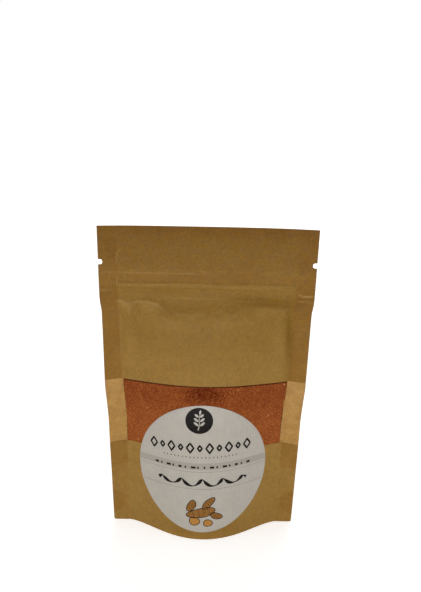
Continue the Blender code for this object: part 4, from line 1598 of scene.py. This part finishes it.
@dataclass
class Label:
    """The round paper label and its plain printed ornament."""

    form: PouchForm
    panels: Panels
    finishes: Wardrobe
    wide: float = 36.9
    tall: float = 37.9
    across: float = -0.8
    up: float = 42.8
    lean: float = 1.1
    paper: float = 0.10
    glue: float = 0.02
    ink: float = 0.012
    ink_step: float = 0.01
    step_down: Point = (-0.2, 1.4)
    sides: int = 160
    rings: int = 34
    band_strips: tuple[float, ...] = (44.775, 45.725, 46.675, 47.625)
    strip_width: float = 0.95
    band_inset: float = 0.2
    rules: tuple[Point, ...] = ((42.8, 36.2), (32.5, 34.6))
    rule_width: float = 0.28
    roundel: tuple[float, ...] = (-2.3, 72.7, 7.3, 7.0)
    dash_lengths: tuple[float, ...] = (
        2.6, 1.1, 3.0, 1.1, 2.2, 1.1, 3.2, 1.1, 1.1, 2.8, 1.1, 3.0, 1.1, 2.2, 1.1, 2.6)
    fingers: tuple[Finger, ...] = (
        Finger(-1.5, 17.5, 8.2, 2.9, 14.0), Finger(-6.8, 21.8, 4.0, 2.1, 62.0),
        Finger(2.6, 23.6, 4.6, 2.0, 48.0), Finger(6.8, 15.2, 3.6, 1.9, -24.0))
    slices: tuple[Finger, ...] = (Finger(-5.2, 12.0, 2.9, 2.6), Finger(2.2, 10.9, 2.5, 2.2))
    ring_marks: tuple[float, ...] = (-0.55, -0.2, 0.15, 0.5)
    ring_reach: float = 0.75
    outline_width: float = 0.42

    def inner(self, across: Values, up: Values) -> Values:
        """Returns the offset of the label's inner face, which steps from the paper down onto the film."""
        papers = self.panels.kraft * (1 - smooth_step(up - self.panels.window_low, *self.step_down))
        return self.panels.kraft_inner(across, up) + papers + self.glue

    def disc(self) -> Piece:
        """Makes the label's own paper disc."""
        mesh_data = bmesh.new()
        bmesh.ops.create_circle(mesh_data, cap_ends=True, segments=self.sides, radius=1.0)
        middle = mesh_data.faces[:]
        for _ in range(self.rings - 1):
            bmesh.ops.inset_individual(mesh_data, faces=middle, thickness=1.0 / self.rings)
        bmesh.ops.poke(mesh_data, faces=middle)
        bmesh.ops.scale(mesh_data, verts=mesh_data.verts, vec=(self.wide, self.tall, 1.0))
        bmesh.ops.translate(mesh_data, verts=mesh_data.verts, vec=(self.across, self.up, 0))
        Bender(self.form, Side.FRONT, FRONT_RELIEF).bend(mesh_data, self.inner, self.paper)
        return new_piece("label_paper", mesh_data, (self.finishes.label, self.finishes.label))

    def print(self, name: str, pen: Pen, ink: Material, layer: int) -> None:
        """Bends one ink's shapes onto the label.

        Args:
            name: the piece's name.
            pen: the shapes.
            ink: their material.
            layer: how many inks lie under this one.
        """
        lift = self.paper + self.ink_step * (layer + 1)

        def above(across: Values, up: Values) -> Values:
            """Returns the offset of the ink's inner face."""
            return self.inner(across, up) + lift

        about = Vector((self.across, self.up, 0))
        bmesh.ops.rotate(pen.mesh_data, cent=about, verts=pen.mesh_data.verts,
                         matrix=Matrix.Rotation(math.radians(self.lean), 3, "Z"))
        Bender(self.form, Side.FRONT, FRONT_RELIEF).bend(pen.mesh_data, above, self.ink)
        hang_on_frame(new_piece(name, pen.mesh_data, (ink, ink)), "label_paper")

    def band(self) -> Pen:
        """Draws the plain grey band across the label."""
        pen = Pen()
        for up in self.band_strips:
            half = self.wide * math.sqrt(1 - ((up - self.up) / self.tall) ** 2) - self.band_inset
            pen.rule(self.across, half, up, self.strip_width)
        return pen

    def hairlines(self) -> Pen:
        """Draws the two fine rules above and below the flourish."""
        pen = Pen()
        for up, half in self.rules:
            pen.rule(self.across, half, up, self.rule_width)
        return pen

    def black_marks(self) -> Pen:
        """Draws the roundel, the ornament rows, the flourish and the rhizome's outlines."""
        pen = Pen()
        x, y, wide, tall = self.roundel
        pen.oval((x, y), wide, tall, sides=64)
        self.ornament_rows(pen)
        self.flourish(pen)
        self.rhizome_outlines(pen)
        return pen

    def ornament_rows(self, pen: Pen) -> None:
        """Draws a row of diamonds, one of dots and one of dashes."""
        start, pitch, up = -28.0, 5.2, 57.0
        for i in range(11):
            centre = start + i * pitch
            wide, tall = (1.9, 2.9) if i % 2 == 0 else (1.15, 1.75)
            diamond = [(centre - wide, up), (centre, up + tall), (centre + wide, up), (centre, up - tall)]
            pen.line(diamond, [1.0] * 4, closed=True)
        start, pitch, up, dot = -22.0, 2.1, 51.6, 0.34
        for i in range(20):
            pen.oval((start + i * pitch, up), dot, dot, sides=10)
        start, pitch, up, width, shrink = -27.4, 3.42, 45.6, 1.2, 0.8
        for i, length in enumerate(self.dash_lengths):
            left = start + i * pitch
            pen.line(((left, up), (left + length * shrink, up)), (width, width))

    def flourish(self, pen: Pen) -> None:
        """Draws a bold brushed flourish of thick and thin waves."""
        steps, start, length, middle, height, half_waves = 120, -26.5, 51.5, 36.4, 2.0, 9.0
        thin, thick = 0.55, 1.35
        path, widths = [], []
        for i in range(steps + 1):
            t = i / steps
            turn = t * math.pi * half_waves
            swell = 0.55 + 0.45 * math.sin(math.pi * t)
            path.append((start + length * t + math.cos(turn), middle + height * math.sin(turn) * swell))
            widths.append(thin + thick * (0.5 + 0.5 * math.sin(2 * turn + 0.8)))
        pen.line(path, widths)

    def rhizome_outlines(self, pen: Pen) -> None:
        """Draws the dark outlines and ring marks of the rhizome."""
        for finger in (*self.fingers, *self.slices):
            outline = finger.outline()
            pen.line(outline, [self.outline_width] * len(outline), closed=True)
        for finger in self.fingers:
            for share in self.ring_marks:
                along = share * finger.long
                half = finger.broad * math.sqrt(1 - share ** 2) * self.ring_reach
                bow = [finger.spot(along, -half), finger.spot(along + 0.5, 0.0), finger.spot(along, half)]
                pen.stroke(bow, 0.28, 0.12)

    def rhizome_fills(self) -> tuple[Pen, Pen]:
        """Draws the rhizome's ochre skin and its amber cut faces."""
        skin, flesh = Pen(), Pen()
        for pen, shapes in ((skin, self.fingers), (flesh, self.slices)):
            for shape in shapes:
                pen.oval((shape.x, shape.y), shape.long, shape.broad, shape.lean)
        return skin, flesh

    def sprig(self) -> Pen:
        """Draws the light sprig inside the roundel."""
        pen = Pen()
        pen.stroke(((-2.9, 67.8), (-2.2, 70.6), (-2.3, 73.6), (-1.8, 76.6)), 0.55, 0.3)
        stem, leaf_lean = -2.25, 38.0
        for up, reach in ((70.2, 2.7), (72.4, 2.6), (74.6, 2.2)):
            for sign in (-1, 1):
                leaf = (stem + sign * reach * 0.62, up + 0.9)
                pen.oval(leaf, reach * 0.56, 0.62, sign * leaf_lean, 16)
        pen.oval((-1.75, 77.3), 0.55, 1.15, -12.0, 16)
        return pen

    def build(self) -> None:
        """Makes the label and its print."""
        made = self.finishes
        hang_on_frame(self.disc(), "label_paper", "label_disc")
        skin, flesh = self.rhizome_fills()
        self.print("print_band", self.band(), made.grey, 0)
        self.print("print_rules", self.hairlines(), made.hairline, 0)
        self.print("print_skin", skin, made.ochre, 0)
        self.print("print_flesh", flesh, made.amber, 1)
        self.print("print_black", self.black_marks(), made.black, 2)
        self.print("print_sprig", self.sprig(), made.label, 3)


@dataclass(frozen=True)
class Lamp:
    """A soft square light and what it points at, in metres."""

    name: str
    place: tuple[float, float, float]
    size: float
    watts: float
    aim: tuple[float, float, float] = (0.0, 0.0, 0.08)


@dataclass
class Studio:
    """The pale floor, the soft lights and the camera at the photograph's angle."""

    lamps: tuple[Lamp, ...] = (
        Lamp("key_light", (-0.06, -0.96, 0.22), 0.55, 6.3),
        Lamp("back_light", (0.25, 1.15, 1.10), 1.2, 6.0),
    )
    zenith_level: float = 0.36
    horizon_level: float = 0.78
    zenith_from: float = 0.9
    backdrop_level: float = 1.0
    white: Colour = (1.0, 1.0, 1.0)
    floor_colour: Colour = (0.93, 0.93, 0.925)
    floor_radius: float = 12.0
    floor_drop: float = 0.02
    glow_range: Point = (0.2, 2.0)
    near_glow: float = 0.50
    far_glow: float = 0.66
    camera_place: tuple[float, float, float] = (-0.128, -222.03, 198.31)
    pitch: float = 15.344
    heading: float = -0.473
    roll: float = 1.256
    focus: float = 450.0
    frame_tall: float = 592.0

    def build_camera(self) -> None:
        """Makes the camera, turned as the photograph's was."""
        camera = bpy.data.cameras.new("camera")
        camera.sensor_width = 36.0
        camera.lens = self.focus / self.frame_tall * camera.sensor_width
        camera.clip_start, camera.clip_end = 0.01, 60.0
        made = bpy.data.objects.new("camera", camera)
        bpy.context.scene.collection.objects.link(made)
        bpy.context.scene.camera = made
        pitch, roll = math.radians(self.pitch), math.radians(self.roll)
        turn = Matrix.Rotation(math.radians(self.heading), 3, "Z")
        right = turn @ Vector((1, 0, 0))
        upward = turn @ Vector((0, math.sin(pitch), math.cos(pitch)))
        ahead = turn @ Vector((0, math.cos(pitch), -math.sin(pitch)))
        columns = (math.cos(roll) * right + math.sin(roll) * upward,
                   math.cos(roll) * upward - math.sin(roll) * right, -ahead)
        place = Matrix.Translation(Vector(self.camera_place) * MM)
        made.matrix_world = place @ Matrix(columns).transposed().to_4x4()

    def build_lamps(self) -> None:
        """Makes the lights."""
        for lamp in self.lamps:
            light = bpy.data.lights.new(lamp.name, "AREA")
            light.shape = "SQUARE"
            light.size = lamp.size
            light.energy = lamp.watts
            made = bpy.data.objects.new(lamp.name, light)
            made.location = lamp.place
            aim = Vector(lamp.aim) - Vector(lamp.place)
            made.rotation_euler = aim.to_track_quat("-Z", "Y").to_euler()
            made.visible_camera = False
            bpy.context.scene.collection.objects.link(made)

    def build_floor(self) -> None:
        """Makes the floor, which the camera sees a little brighter than it is lit."""
        mesh_data = bmesh.new()
        bmesh.ops.create_circle(mesh_data, cap_ends=True, segments=96, radius=self.floor_radius)
        bmesh.ops.translate(mesh_data, verts=mesh_data.verts, vec=(0, 0, -self.floor_drop * MM))
        finish = Finish("studio floor", self.floor_colour, 0.75, 0.1)
        seen = finish.add("ShaderNodeLightPath").outputs["Is Camera Ray"]
        place = finish.object_place()
        reach = finish.add("ShaderNodeVectorMath", {"operation": "LENGTH"}, Vector=place).outputs["Value"]
        glow = finish.times(seen, finish.span(reach, *self.glow_range, self.near_glow, self.far_glow))
        finish.wear(Emission_Color=self.white, Emission_Strength=glow)
        new_piece("studio_floor", mesh_data, (finish.material,))

    def build_surround(self) -> None:
        """Makes the plain pale surround, white to the camera and soft as a light."""
        world = bpy.data.worlds.new("studio")
        world.use_nodes = True
        graph = Graph(world.node_tree)
        seen = graph.add("ShaderNodeLightPath").outputs["Is Camera Ray"]
        direction = graph.add("ShaderNodeTexCoord").outputs["Generated"]
        height = graph.add("ShaderNodeSeparateXYZ", None, Vector=direction).outputs["Z"]
        level = graph.span(height, 0.0, self.zenith_from, self.horizon_level, self.zenith_level)
        unseen = graph.times(graph.math("SUBTRACT", 1.0, seen), level)
        strength = graph.plus(unseen, graph.times(seen, self.backdrop_level))
        graph.supply(world.node_tree.nodes["Background"], Color=self.white, Strength=strength)
        bpy.context.scene.world = world

    def build(self) -> None:
        """Makes the whole studio."""
        self.build_camera()
        self.build_lamps()
        self.build_floor()
        self.build_surround()
        settings = bpy.context.scene.view_settings
        settings.view_transform = "Standard"
        settings.look = "None"
        log.info("studio: camera, %d lights and floor", len(self.lamps))


def corners(box: tuple[Vector, Vector]) -> list[list[float]]:
    """Returns a box's two corners as plain numbers."""
    return [[float(value) for value in corner] for corner in box]


def main() -> None:
    """Loads the frame and builds the pouch and the studio."""
    logging.basicConfig(level=logging.INFO, format="%(name)s: %(message)s")
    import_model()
    Studio().build()
    form = PouchForm()
    finishes = Wardrobe()
    panels = Panels(form, finishes)
    panels.build()
    gusset = Gusset(form, finishes)
    gusset.build()
    Powder(form, gusset, finishes).build()
    Zip(form, finishes).build()
    Label(form, panels, finishes).build()


if __name__ == "__main__":
    main()
